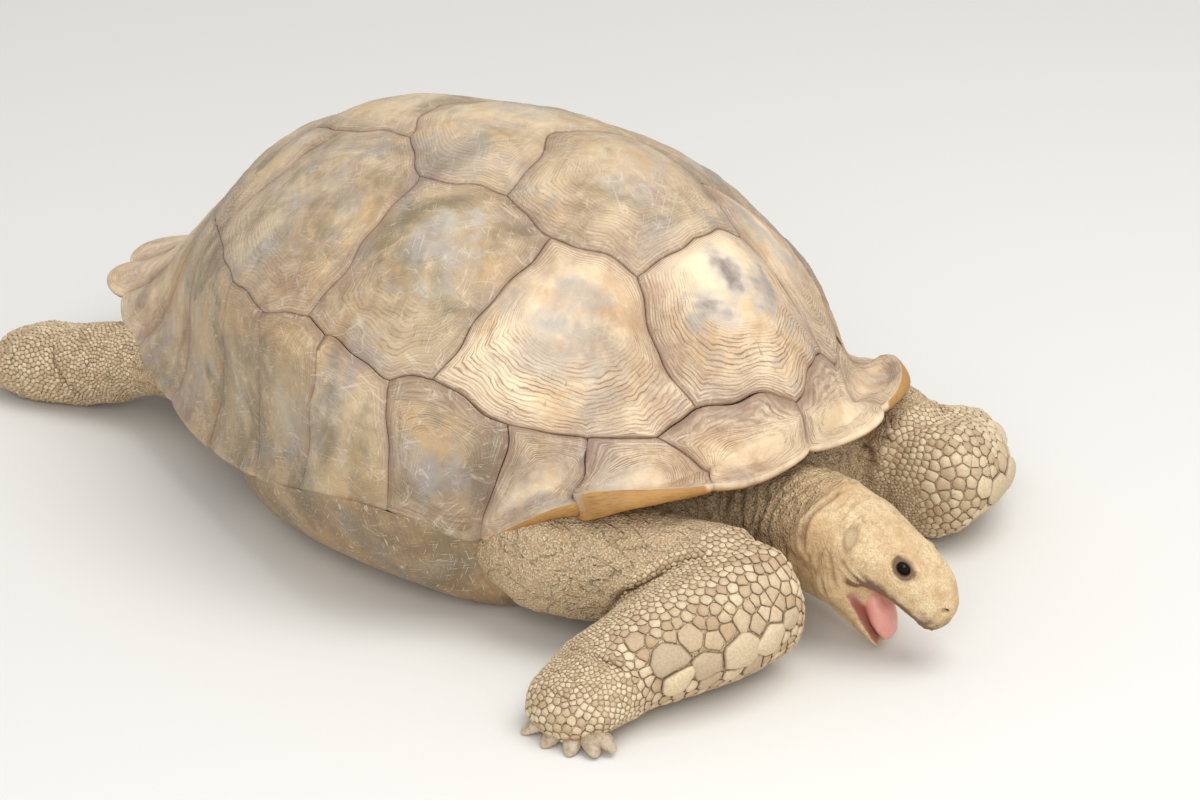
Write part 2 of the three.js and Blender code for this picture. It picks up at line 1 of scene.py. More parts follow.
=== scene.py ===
import bmesh
import bpy
import numpy as np
from mathutils import Matrix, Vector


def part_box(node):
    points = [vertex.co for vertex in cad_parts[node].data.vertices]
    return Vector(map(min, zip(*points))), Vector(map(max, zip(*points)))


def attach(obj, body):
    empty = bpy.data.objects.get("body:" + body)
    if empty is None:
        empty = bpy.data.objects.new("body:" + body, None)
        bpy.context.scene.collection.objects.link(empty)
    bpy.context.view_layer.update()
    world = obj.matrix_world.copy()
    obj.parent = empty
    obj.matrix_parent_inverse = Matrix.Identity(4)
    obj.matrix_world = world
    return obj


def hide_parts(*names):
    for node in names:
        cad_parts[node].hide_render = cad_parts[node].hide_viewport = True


# A grown African spurred tortoise lying on its belly shell with its head lowered and its mouth open.
# Metres, +X towards the head, +Y the animal's left, +Z up, the floor at z = 0.
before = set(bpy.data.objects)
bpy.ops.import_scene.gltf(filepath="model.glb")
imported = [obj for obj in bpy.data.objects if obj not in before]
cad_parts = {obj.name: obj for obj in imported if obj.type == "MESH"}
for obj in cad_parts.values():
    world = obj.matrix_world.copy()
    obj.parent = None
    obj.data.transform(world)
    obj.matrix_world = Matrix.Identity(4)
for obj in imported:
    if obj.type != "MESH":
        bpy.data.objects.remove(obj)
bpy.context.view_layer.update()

# ---------------------------------------------------------------- the carapace's horn plates
# Thirty-six plates of keratin over the bony dome, each grown outwards in rings from a small first
# plate, fixed to the bone below and meeting its neighbours in narrow seams. The marginal plates
# turn over the rim and show their undersides at the front and rear.
MM = 0.001
BELLY_FRONT = 206 * MM                  # from the shell's own middle to the belly shell's front end
belly_low, belly_high = (np.array(corner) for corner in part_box("plastron"))
home = np.array([belly_high[0] - BELLY_FRONT, (belly_low[1] + belly_high[1]) / 2, 0.0])

CROWN_X = 10.4
CROWN_Z = 307
SEAM_X = [-38.9, 275.2, -28.5, 13.9]
SEAM_Y = [215.4, -12.5, -12.5, 0.7]
SEAM_Z = [177.1, -28.5, -6.3, 8.3]
RIM_X = [-70.9, 332.2, -73.7, 27.8, 18.8]
RIM_Y = [253, 19.5, 11.8, 18.8, 11.8]
RIM_Z = [92.3, 17.4, 14.6, -2.1, 12.5, -3.5, -7.6]
DOME_POWER = [2.087, -0.658, 0.577, -0.177]
FLARE = [-41.8, -8.9, 25.1]             # slope of the rim, degrees
CURL_ANGLE, CURL_WIDTH, CURL_SLOPE = 24, 11, 62
PLATE = 7 * MM
SWELL = 3.5 * MM


def cosines(sizes, t):
    """The sum of sizes[i] cos(i t)."""
    return sum(size * np.cos(i * t) for i, size in enumerate(sizes))


def sines(sizes, t):
    """The sum of sizes[i] sin((i + 1) t)."""
    return sum(size * np.sin((i + 1) * t) for i, size in enumerate(sizes))


def unit(v):
    """Each vector over its own length."""
    return v / np.maximum(np.linalg.norm(v, axis=-1, keepdims=True), 1e-12)


def shell(p, q):
    """The smooth shell over the plan coordinates p, q = rho cos t, rho sin t.

    Inside rho = 1 the height falls from the crown as rho to a power that changes round the shell.
    Between rho = 1 and 2 a cubic runs from the costal seam ring to the rim ring, leaving the first
    along the dome's slope and meeting the second at the rim's flare."""
    rho = np.hypot(p, q)
    t = np.arctan2(q, p)
    seam = np.stack([cosines(SEAM_X, t), sines(SEAM_Y, t), cosines(SEAM_Z, t)], -1)
    rim = np.stack([cosines(RIM_X, t), sines(RIM_Y, t), cosines(RIM_Z, t)], -1)
    power = cosines(DOME_POWER, t)
    crown = np.array([CROWN_X, 0.0, CROWN_Z])
    dome = crown + rho[..., None] * (seam - crown)
    dome[..., 2] = seam[..., 2] + (CROWN_Z - seam[..., 2]) * (1 - rho ** power)
    reach = seam - crown
    radial = np.hypot(reach[..., 0], reach[..., 1])
    flat = np.stack([reach[..., 0] / radial, reach[..., 1] / radial, 0 * t], -1)
    rise = np.array([0.0, 0.0, 1.0])
    start = unit(flat - rise * ((CROWN_Z - seam[..., 2]) * power / radial)[..., None])
    curl = CURL_SLOPE * np.exp(-(((np.abs(np.degrees(t)) - CURL_ANGLE) / CURL_WIDTH) ** 2))
    flare = np.radians(cosines(FLARE, t) + curl)[..., None]
    end = flat * np.cos(flare) + rise * np.sin(flare)
    w = np.maximum(rho - 1, 0)[..., None]
    span = np.linalg.norm(rim - seam, axis=-1)[..., None]
    skirt = seam * (2 * w ** 3 - 3 * w ** 2 + 1) + rim * (3 * w ** 2 - 2 * w ** 3)
    skirt = skirt + span * start * (w ** 3 - 2 * w ** 2 + w) + span * end * (w ** 3 - w ** 2)
    return home + MM * np.where(rho[..., None] <= 1, dome, skirt)


def shell_normal(p, q):
    """The outward normal, from the surface's slopes along p and q."""
    e = 0.004
    return unit(np.cross(shell(p + e, q) - shell(p - e, q), shell(p, q + e) - shell(p, q - e)))


def even_turns(count):
    """The angles of count even steps round a circle."""
    return np.arange(count) * 2 * np.pi / count


def ripple(points, size, seed):
    """A smooth random field from -1 to 1: three turned sine products of the given wavelength."""
    turn = np.random.default_rng(seed).uniform(-1, 1, (3, 3, 3)) * 2 * np.pi / size
    phase = np.random.default_rng(seed + 1).uniform(0, 2 * np.pi, (3, 3))
    waves = [np.prod([np.sin(points @ turn[k, j] + phase[k, j]) for j in range(3)], axis=0) for k in range(3)]
    return sum(waves)


# where seams meet: rho, and the angle round from the front; mirrored on the left
MEET = {
    "v1tip": (0.977, 0), "notch": (1.84, 0), "v1v2": (0.516, 0),
    "v1c1m1": (0.947, 27.2), "v1v2c1": (0.607, 33.8), "v2c1c2": (0.467, 62), "v2v3c2": (0.345, 93),
    "v3c2c3": (0.494, 124), "v3v4c3": (0.475, 146.2), "v4c3c4": (0.644, 157.6), "v4v5c4": (0.745, 168),
    "v5c4m": (0.985, 160), "v2v3": (0.1, 180), "v3v4": (0.43, 180), "v4v5": (0.74, 180),
    "m12": (1.02, 35.8), "m23": (1.041, 47.8), "m34": (1.0, 61.2), "c12m": (0.936, 76.4),
    "m45": (0.978, 83.5), "m56": (0.963, 100), "c23m": (0.953, 105.9), "m67": (1.053, 114.4),
    "m78": (1.069, 126.5), "c34m": (1.014, 143.6), "m89": (1.03, 148), "m910": (1.01, 155.5),
    "m1011": (1.0, 164), "m11s": (1.01, 171.5), "r12": (2.0, 12.8), "r23": (1.985, 31.1),
    "r34": (2.01, 59.1), "r45": (1.99, 85.4), "r56": (2.01, 102.9), "r67": (2.0, 112.5),
    "r78": (2.0, 122.5), "r89": (1.98, 133), "r910": (1.97, 144.5), "r1011": (1.96, 156.7),
    "r11s": (1.96, 168.8), "s": (1.0, 180),
}
# how far each free edge bows out past the line between its seams
BOW = {
    "notch-r12": 0.15, "r12-r23": 0.05, "r78-r89": 0.01, "r89-r910": 0.015, "r910-r1011": 0.03,
    "r1011-r11s": 0.11, "r11s-r11s": 0.1,
}
# how far a seam swings aside from that line, near its first end and near its last
SWING = {"m12-r12": (-0.015, 0.121), "m23-r23": (-0.181, 0.031), "m45-r45": (0.105, -0.011),
         "m56-r56": (0.17, -0.03), "m67-r67": (0.1, -0.06), "m78-r78": (0.09, -0.08),
         "v1c1m1-v1v2c1": (0.05, 0.04)}
MIDLINE = {
    "vertebral_1": ["v1tip", "v1c1m1", "v1v2c1", "v1v2"],
    "vertebral_2": ["v1v2", "v1v2c1", "v2c1c2", "v2v3c2", "v2v3"],
    "vertebral_3": ["v2v3", "v2v3c2", "v3c2c3", "v3v4c3", "v3v4"],
    "vertebral_4": ["v3v4", "v3v4c3", "v4c3c4", "v4v5c4", "v4v5"],
    "vertebral_5": ["v4v5", "v4v5c4", "v5c4m", "m1011", "m11s", "s"],
    "supracaudal": ["s", "m11s", "r11s"],
}
SIDED = {
    "costal_1": ["v1c1m1", "m12", "m23", "m34", "c12m", "v2c1c2", "v1v2c1"],
    "costal_2": ["c12m", "m45", "m56", "c23m", "v3c2c3", "v2v3c2", "v2c1c2"],
    "costal_3": ["c23m", "m67", "m78", "c34m", "v4c3c4", "v3v4c3", "v3c2c3"],
    "costal_4": ["c34m", "m89", "m910", "v5c4m", "v4v5c4", "v4c3c4"],
    "marginal_01": ["notch", "r12", "m12", "v1c1m1", "v1tip"],
    "marginal_02": ["r12", "r23", "m23", "m12"],
    "marginal_03": ["r23", "r34", "m34", "m23"],
    "marginal_04": ["r34", "r45", "m45", "c12m", "m34"],
    "marginal_05": ["r45", "r56", "m56", "m45"],
    "marginal_06": ["r56", "r67", "m67", "c23m", "m56"],
    "marginal_07": ["r67", "r78", "m78", "m67"],
    "marginal_08": ["r78", "r89", "m89", "c34m", "m78"],
    "marginal_09": ["r89", "r910", "m910", "m89"],
    "marginal_10": ["r910", "r1011", "m1011", "v5c4m", "m910"],
    "marginal_11": ["r1011", "r11s", "m11s", "m1011"],
}
SEAM_GAP = 0.25 * MM                    # from a plate's edge to the middle of its seam
OUTLINE_STEP = 4 * MM
RING_COUNT = 15                         # growth rings from the first plate to the edge
# for each plate: how deep its rings still stand, how far it is rubbed to grey, how pale its horn is
WEAR = {
    "vertebral_1": (0.9, 1.2, 0.95), "vertebral_2": (0.45, 0.55, 0.5), "vertebral_3": (0.4, 0.45, 0.55),
    "vertebral_4": (0.5, 0.4, 0.5), "vertebral_5": (0.6, 0.3, 0.5), "costal_1": (0.85, 0.75, 0.95),
    "costal_2": (0.5, 0.8, 0.3), "costal_3": (0.5, 0.6, 0.5), "costal_4": (0.6, 0.4, 0.4),
    "marginal_01": (0.8, 0.15, 0.9), "marginal_02": (0.9, 0.15, 0.85), "marginal_03": (0.9, 0.2, 0.75),
    "marginal_04": (0.7, 0.2, 0.1), "marginal_05": (0.35, 0.45, 0.35), "marginal_06": (0.35, 0.5, 0.15),
    "marginal_07": (0.35, 0.45, 0.15), "marginal_08": (0.35, 0.35, 0.2), "marginal_09": (0.4, 0.3, 0.45),
    "marginal_10": (0.5, 0.25, 0.65), "marginal_11": (0.5, 0.15, 1.0), "supracaudal": (0.5, 0.15, 0.95),
}


def plate_outline(corners):
    """The plate's edge in plan coordinates, and which of its points lie on the free rim.

    A seam is a line in the plan with its own swing and a small wave, the same for both its plates; a
    free edge runs round at even angle, bowed outwards."""
    points, free = [], []
    for (name_a, side_a), (name_b, side_b) in zip(corners, corners[1:] + corners[:1]):
        (rho_a, turn_a), (rho_b, turn_b) = MEET[name_a], MEET[name_b]
        turn_a, turn_b = np.radians(turn_a * side_a), np.radians(turn_b * side_b)
        if turn_b - turn_a > np.pi:
            turn_b = turn_b - 2 * np.pi
        if turn_a - turn_b > np.pi:
            turn_b = turn_b + 2 * np.pi
        bow = BOW.get(f"{name_a}-{name_b}", BOW.get(f"{name_b}-{name_a}"))
        on_rim = bow is not None or (name_a[0] == "r" and name_b[0] == "r")
        a = np.array([rho_a * np.cos(turn_a), rho_a * np.sin(turn_a)])
        b = np.array([rho_b * np.cos(turn_b), rho_b * np.sin(turn_b)])
        length = np.linalg.norm(shell(*a[:, None]) - shell(*b[:, None]))
        f = np.linspace(0, 1, max(5, round(length / OUTLINE_STEP)), endpoint=False)
        if on_rim:
            rho = rho_a + (rho_b - rho_a) * f + (bow or 0) * np.sin(np.pi * f) ** 0.7
            t = turn_a + (turn_b - turn_a) * f
            line = np.stack([rho * np.cos(t), rho * np.sin(t)], -1)
        else:
            back = name_a > name_b
            side = side_a if MEET[name_a][1] % 180 else side_b
            g = 1 - f if back else f
            lo, hi = SWING.get(f"{name_b}-{name_a}" if back else f"{name_a}-{name_b}", (0, 0))
            phase = sum(map(ord, name_a + name_b)) + 1.7 * side
            wave = np.sin(60 * length * g + phase) + 0.6 * np.sin(137 * length * g + 2 * phase)
            waved = 0.009 * (MEET[name_a][1] % 180 + MEET[name_b][1] % 180 > 0)
            swing = 4 * g * (1 - g) * (lo * (1 - g) + hi * g) + waved * wave * np.sqrt(4 * g * (1 - g))
            beside = np.array([a[1] - b[1], b[0] - a[0]]) / np.hypot(*(b - a)) * (1 if back else -1) * side
            line = a + (b - a) * f[:, None] + beside * swing[:, None]
        points.append(line)
        free.append(np.full(len(f), float(on_rim)))
    return np.concatenate(points), np.concatenate(free)


def closed_grid(rows, first, last):
    """Points, quads and triangles of rows of equal rings, each end closed by a fan to its own point.

    Faces are turned to point outwards by the sign of the enclosed volume."""
    count, around = rows.shape[:2]
    points = np.concatenate([rows.reshape(-1, 3), [first, last]])
    index = np.arange(count * around).reshape(count, around)
    beside = np.roll(index, -1, axis=1)
    quads = np.stack([index[:-1], beside[:-1], beside[1:], index[1:]], -1).reshape(-1, 4)
    start = np.stack([beside[0], index[0], np.full(around, count * around)], -1)
    finish = np.stack([index[-1], beside[-1], np.full(around, count * around + 1)], -1)
    triangles = np.concatenate([start, finish])
    split = np.concatenate([quads[:, [0, 1, 2]], quads[:, [0, 2, 3]], triangles])
    a, b, c = (points[split[:, k]] for k in range(3))
    if np.einsum("ij,ij->", a, np.cross(b, c)) < 0:
        quads, triangles = quads[:, ::-1], triangles[:, ::-1]
    return points, quads, triangles


def joined(grids):
    """Several closed grids as one set of points, quads and triangles."""
    starts = np.cumsum([0] + [len(points) for points, _, _ in grids])
    points = np.concatenate([grid[0] for grid in grids])
    quads = np.concatenate([grid[1] + start for grid, start in zip(grids, starts)])
    return points, quads, np.concatenate([grid[2] + start for grid, start in zip(grids, starts)])


def with_ends(numbers):
    """A grid's numbers in a row, then the means of its first and last ring for the closing points."""
    return [*numbers.ravel(), numbers[0].mean(), numbers[-1].mean()]


def placed(name, data):
    """A new object of the scene that shows a mesh, a lamp or a camera."""
    thing = bpy.data.objects.new(name, data)
    bpy.context.scene.collection.objects.link(thing)
    return thing


def give_values(mesh, values):
    """Writes one number per point for each named attribute."""
    for key, numbers in values.items():
        layer = mesh.attributes.new(key, "FLOAT", "POINT")
        layer.data.foreach_set("value", np.asarray(numbers, dtype=np.float32).ravel())


def make_piece(name, points, quads, triangles, values=None):
    """A smooth-shaded mesh object; values holds one number per point for each named attribute."""
    mesh = bpy.data.meshes.new(name)
    mesh.vertices.add(len(points))
    mesh.vertices.foreach_set("co", points.astype(np.float32).ravel())
    corners = np.concatenate([quads.ravel(), triangles.ravel()]).astype(np.int32)
    sides = np.concatenate([np.full(len(quads), 4), np.full(len(triangles), 3)]).astype(np.int32)
    mesh.loops.add(len(corners))
    mesh.loops.foreach_set("vertex_index", corners)
    mesh.polygons.add(len(sides))
    starts = np.concatenate([[0], np.cumsum(sides)[:-1]]).astype(np.int32)
    mesh.polygons.foreach_set("loop_start", starts)
    mesh.polygons.foreach_set("use_smooth", np.ones(len(sides), dtype=bool))
    give_values(mesh, values or {})
    mesh.update(calc_edges=True)
    return placed(name, mesh)


def rising(value, low, high):
    """0 below low and 1 above high, smooth between."""
    t = np.clip((value - low) / (high - low), 0, 1)
    return t * t * (3 - 2 * t)


def ring_steps(growth, seed):
    """Uneven rings: four sines of growth whose rates share no common beat, sharpened downwards."""
    phase = np.random.default_rng(seed + 50).uniform(0, 2 * np.pi, 4)
    rates = [(1.0, 0.5), (1.62, 0.3), (0.38, 0.35), (2.71, 0.2)]
    wave = sum(size * np.sin(2 * np.pi * rate * growth + turn) for (rate, size), turn in zip(rates, phase))
    return np.minimum(wave, 0.25) - 0.25


def horn_plate(name, corners, wear, seed):
    """One plate: rows of its own outline shrunk towards the first plate, swelling up between seams.

    Inner rows are rounder than the outline. Each ring sinks a narrow groove; the last rows round over
    the rim or drop into the seam, and a few plain rows close the underside."""
    depth, rubbed, pale = wear
    edge, free = plate_outline(corners)
    middle = edge.mean(0)
    for _ in range(3):
        free = (np.roll(free, 1) + 2 * free + np.roll(free, -1)) / 4
    marginal = free.max() > 0.5
    if marginal:
        middle = middle + 0.25 * (edge[free > 0.6].mean(0) - middle)
    elif name.startswith("costal"):
        middle = middle * (0.8 if name.startswith("costal_1") else 0.88)
    elif name.startswith("vertebral_1"):
        middle = middle * [0.88, 1]
    reach = np.linalg.norm(shell(*edge.T) - shell(*middle[:, None]), axis=-1)
    edge = middle + (edge - middle) * (1 - min(1, 0.3 + depth) * SEAM_GAP / reach)[:, None]
    window = max(5, len(edge) // 7)
    blunt = sum(np.roll(edge, k, axis=0) for k in range(-window, window + 1)) / (2 * window + 1)
    u = np.concatenate([np.linspace(0.03, 0.3, 8), np.linspace(0.32, 1, 66)])[:, None]
    outline = blunt + (edge - blunt) * (u ** 3)[..., None]
    plan = middle + (outline - middle) * u[..., None]
    surface = shell(plan[..., 0], plan[..., 1])
    normal = shell_normal(plan[..., 0], plan[..., 1])
    inset = (1 - u) * reach
    turn = even_turns(len(edge))
    growth = RING_COUNT * u + 0.3 * np.sin(5.3 * u + seed) + 0.2 * np.sin(13 * u + 2 * seed) + 0 * reach
    growth = growth + 0.35 * ripple(surface, 90 * MM, seed) + 0.08 * ripple(surface, 22 * MM, seed + 3)
    # broad young horn lies where the plate reaches furthest, and only there do its rings stand out
    wide = 1 + 0 * reach if marginal else 0.15 + 0.85 * rising(reach, 45 * MM, 88 * MM)
    young = rising(u, 0.45, 0.85) * wide
    worn_reach = u + 0.3 * ripple(surface, 55 * MM, seed + 30) + 0.1 * ripple(surface, 18 * MM, seed)
    worn_reach = np.maximum(worn_reach, 0)
    broken = 0.65 + 0.35 * ripple(surface, 50 * MM, seed + 20)
    lift = (1.2 * MM if marginal else SWELL) * 1.3 * (1 - u ** 2.6)
    lift = lift + 0.6 * MM * ripple(surface, 60 * MM, seed + 7) * (1 - u ** 6)
    lift = lift + 0.2 * MM * ripple(surface, 17 * MM, seed + 9) * (1 - u ** 8)
    lift = lift + depth * 0.75 * MM * ring_steps(growth, seed) * young * broken
    lift = lift - (0.2 + depth) * MM * np.exp(-(inset / (1.7 * MM)) ** 2) * (1 - free)
    lift = lift + 0.5 * depth * MM * np.exp(-((inset - 5 * MM) / (2 * MM)) ** 2) * (1 - free)
    # the second marginal's rim is turned up towards its rear corner, so that its golden underside shows,
    # and a little of the third's; the fourth's newest horn is a broad dark band along its front seam
    round_edge = np.abs(np.arctan2(edge[:, 1], edge[:, 0]))
    span = round_edge[free > 0.5] if marginal else round_edge
    along = np.clip((round_edge - span.min()) / (span.max() - span.min()), 0, 1)
    upturn = {"marginal_02": along ** 1.5, "marginal_03": 0.3 * (1 - along)}.get(name[:11], 0 * free)
    upturn = upturn * rising(np.linalg.norm(edge, axis=1), 1.7, 1.95)
    band = (1 - rising(along, 0.04, 0.2)) * (1 - free) * name.startswith("marginal_04")
    lift = lift + 10 * MM * upturn * rising(u, 0.55, 1.0)
    top = surface + normal * lift[..., None]
    outward = unit(np.cross(unit(np.roll(top[-1], -1, 0) - np.roll(top[-1], 1, 0)), normal[-1]))
    outward = outward * np.sign(np.einsum("ij,ij->i", outward, top[-1] - top[0]))[:, None]
    half = PLATE / 2 * (1 + 2.2 * upturn)
    bend = np.linspace(0, np.pi, 9)[1:, None]
    # a free edge rounds over; a seam edge drops straight
    away = half * np.sin(bend) * free * (1 - 0.7 * np.sqrt(upturn))
    down = half * (1 - np.cos(bend))
    wall = top[-1] + outward * away[..., None] - normal[-1] * down[..., None]
    back = np.array([0.9, 0.75, 0.5, 0.25])[:, None]
    under_plan = middle + (edge - middle) * back[..., None]
    under = shell(under_plan[..., 0], under_plan[..., 1])
    under = under - PLATE * shell_normal(under_plan[..., 0], under_plan[..., 1])
    rows = np.concatenate([top, wall, under])
    extra = len(wall) + len(under)
    nothing = np.zeros((extra, len(edge)))
    newest = (0.45 + 0.55 * depth) * (1 - np.exp(-inset / (12 * MM)) * free)
    newest = newest * (1 - rising(inset * (1 - 0.62 * band), 1.5 * MM, (11 if marginal else 19) * MM))
    under_side = np.maximum((1 - np.cos(bend)) / 2, rising(bend, 0.1, 0.5) * (upturn > 0.02) * free)
    values = {
        "growth": np.concatenate([growth, growth[-1:] + 6 * bend / np.pi, growth[-1] + 6 + 30 * (1 - back)]),
        "inset": np.concatenate([inset * (1 - 0.5 * band), nothing]),
        "newest": np.concatenate([newest, nothing]),
        "rubbed": rubbed * np.concatenate([np.exp(-(worn_reach / 0.5) ** 2), nothing]),
        "ringed": np.concatenate([depth * wide * rising(growth, 6.5, 10.5), nothing]),
        "pale": pale + np.zeros(rows.shape[:2]),
        "below": np.concatenate([0 * inset, under_side, np.ones_like(under[..., 0])]),
        "turn_x": np.repeat(np.cos(turn)[None], len(rows), 0),
        "turn_y": np.repeat(np.sin(turn)[None], len(rows), 0),
    }
    values = {key: with_ends(numbers) for key, numbers in values.items()}
    return make_piece(name, *closed_grid(rows, top[0].mean(0), under[-1].mean(0)), values)


def linear(code):
    """An sRGB hex colour as linear light with full alpha."""
    value = np.array([int(code[k:k + 2], 16) for k in (1, 3, 5)]) / 255
    light = np.where(value <= 0.04045, value / 12.92, ((value + 0.055) / 1.055) ** 2.4)
    return (*light.tolist(), 1.0)


COLOUR = {"out": 2, "data_type": "RGBA"}        # a Mix of colours takes them at its inputs 6 and 7


def fill(tree, node, inputs):
    """A node's inputs, by name or number, each set to a value or a hex colour, or linked to a socket."""
    for key, value in inputs.items():
        if isinstance(value, bpy.types.NodeSocket):
            tree.links.new(value, node.inputs[key])
        else:
            node.inputs[key].default_value = linear(value) if isinstance(value, str) else value


def add(tree, kind, inputs, out=0, **settings):
    """One output of a new node of a kind, with its settings and its inputs; a list gives the first inputs
    in the node's own order, which for a MapRange is value, from, from, to, to."""
    made = tree.nodes.new("ShaderNode" + kind)
    for key, value in settings.items():
        setattr(made, key, value)
    fill(tree, made, inputs if isinstance(inputs, dict) else dict(enumerate(inputs)))
    return made.outputs[out]


def new_finish(name, *attributes):
    """A new material: itself, its tree, its shader, the Object coordinates, and each attribute's value."""
    material = bpy.data.materials.new(name)
    material.use_nodes = True
    tree = material.node_tree
    value = {key: add(tree, "Attribute", [], "Fac", attribute_name=key) for key in attributes}
    return material, tree, tree.nodes["Principled BSDF"], add(tree, "TexCoord", [], "Object"), value


HORN_IOR = 1.54


def keratin_horn():
    """Tortoise horn: layered tan keratin, satin where rubbed grey, drawn with fine dark growth lines
    that crowd at the seams, scratched pale, and golden brown on the fresh underside."""
    material, tree, shader, place, value = new_finish(
        "keratin_horn_grown", "growth", "inset", "newest", "rubbed", "ringed", "pale", "below",
        "turn_x", "turn_y")
    broad, patch, speck = (
        add(tree, "TexNoise", {"Vector": place, "Scale": scale, "Detail": detail, "Roughness": roughness})
        for scale, detail, roughness in ((11.0, 5.0, 0.6), (38.0, 6.0, 0.68), (420.0, 3.0, 0.6)))
    # striae: fine lines that follow the rings, drawn by stretching noise along them; cracks cross them
    across, round_x, round_y, crack_x, crack_y = (
        add(tree, "Math", [value[key], rate], operation="MULTIPLY")
        for key, rate in (("growth", 5.5), ("turn_x", 5.0), ("turn_y", 5.0), ("turn_x", 30.0),
                          ("turn_y", 30.0)))
    line = add(tree, "CombineXYZ", [across, round_x, round_y])
    striae = add(tree, "TexNoise", {"Vector": line, "Scale": 1.0, "Detail": 3.0})
    band_at = add(tree, "VectorMath", [line, (0.22, 0.5, 0.5)], operation="MULTIPLY")
    bands = add(tree, "TexNoise", {"Vector": band_at, "Scale": 1.0, "Detail": 3.0})
    light = add(tree, "Mix", {0: value["pale"], 6: "#ad9571", 7: "#f6dcb6"}, **COLOUR)
    dark = add(tree, "Mix", {0: value["pale"], 6: "#77634c", 7: "#c19c78"}, **COLOUR)
    clouds = add(tree, "MapRange", [broad, 0.36, 0.62])
    base = add(tree, "Mix", {0: clouds, 6: dark, 7: light}, **COLOUR)
    blotch = add(tree, "MapRange", [patch, 0.4, 0.62, 0.0, 0.85])
    tone = add(tree, "Mix", {0: blotch, 6: base, 7: light}, **COLOUR)
    # stains in three hues, each from its own channel of one noise: ochre, blue-grey, and olive where dark
    tint = add(tree, "TexNoise", {"Vector": place, "Scale": 17.0, "Detail": 7.0, "Roughness": 0.62,
                                  "Distortion": 0.4}, "Color")
    stains = add(tree, "SeparateColor", [tint]).node.outputs
    for channel, colour, most, least in (("Red", "#cda672", 0.6, 0.5), ("Green", "#969391", 0.62, 0.45),
                                         ("Blue", "#75694b", 0.75, 0.15)):
        much = add(tree, "MapRange", [value["pale"], 0.3, 1.0, most, least])
        stain = add(tree, "MapRange", [stains[channel], 0.5, 0.64, 0.0, much])
        tone = add(tree, "Mix", {0: stain, 6: tone, 7: colour}, **COLOUR)
    banding = add(tree, "MapRange", [bands, 0.5, 0.68, 0.0, 0.6])
    band_here = add(tree, "Math", [banding, value["ringed"]], operation="MULTIPLY")
    fine = add(tree, "MapRange", [striae, 0.5, 0.72, 0.0, 0.6])
    fine_shown = add(tree, "Math", [value["ringed"], 0.8, 0.12], operation="MULTIPLY_ADD")
    fine_here = add(tree, "Math", [fine, fine_shown], operation="MULTIPLY")
    # growth lines: thin dark lines between the rings, broken and wavering, strongest in the younger horn
    line_turn = add(tree, "Math", [value["growth"], 17.0], operation="MULTIPLY")
    line_drift = add(tree, "Math", [patch, 11.0, line_turn], operation="MULTIPLY_ADD")
    line_wave = add(tree, "Math", [line_drift], operation="SINE")
    line_thin = add(tree, "MapRange", [line_wave, 0.25, 0.95])
    line_here = add(tree, "MapRange", [bands, 0.36, 0.6, 0.25, 0.85])
    line_deep = add(tree, "Math", [line_here, value["ringed"]], operation="MULTIPLY")
    line_dark = add(tree, "Math", [line_thin, line_deep], operation="MULTIPLY")
    # hair cracks run outwards across the rings
    crack_at = add(tree, "CombineXYZ", [crack_x, crack_y, value["growth"]])
    crack = add(tree, "TexNoise", {"Vector": crack_at, "Scale": 0.6, "Detail": 3.0})
    crack_line = add(tree, "MapRange", [crack, 0.66, 0.72, 0.0, 0.55])
    crack_young = add(tree, "Math", [crack_line, value["ringed"]], operation="MULTIPLY")
    # the oldest horn in the middle is rubbed through to pale grey, and to streaked bone where it is deepest
    wear = add(tree, "Math", [value["rubbed"], patch], operation="MULTIPLY")
    wear_edge = add(tree, "MapRange", [wear, 0.16, 0.42, 0.0, 0.66])
    grey = add(tree, "Mix", {0: clouds, 6: "#9a938c", 7: "#c2bab2"}, **COLOUR)
    bared = add(tree, "MapRange", [wear, 0.4, 0.78, 0.0, 0.85])
    bone = add(tree, "Mix", {0: striae, 6: "#5f554e", 7: "#93867a"}, **COLOUR)
    # the newest horn beside a seam: purple-grey lines 1.7 mm apart, fading inwards
    wobble = add(tree, "Math", [value["inset"], 3700.0], operation="MULTIPLY")
    waver = add(tree, "Math", [patch, 13.0, wobble], operation="MULTIPLY_ADD")
    seam_wave = add(tree, "Math", [waver], operation="SINE")
    seam_line = add(tree, "MapRange", [seam_wave, -0.6, 0.9, 0.25])
    crowded = add(tree, "Math", [seam_line, 0.62], operation="MULTIPLY")
    seamed = add(tree, "Math", [crowded, value["newest"]], operation="MULTIPLY")
    beside = add(tree, "MapRange", [value["inset"], 0.0006, 0.0026, 0.7, 0.0])
    beside_part = add(tree, "Math", [beside, value["newest"]], operation="MULTIPLY")
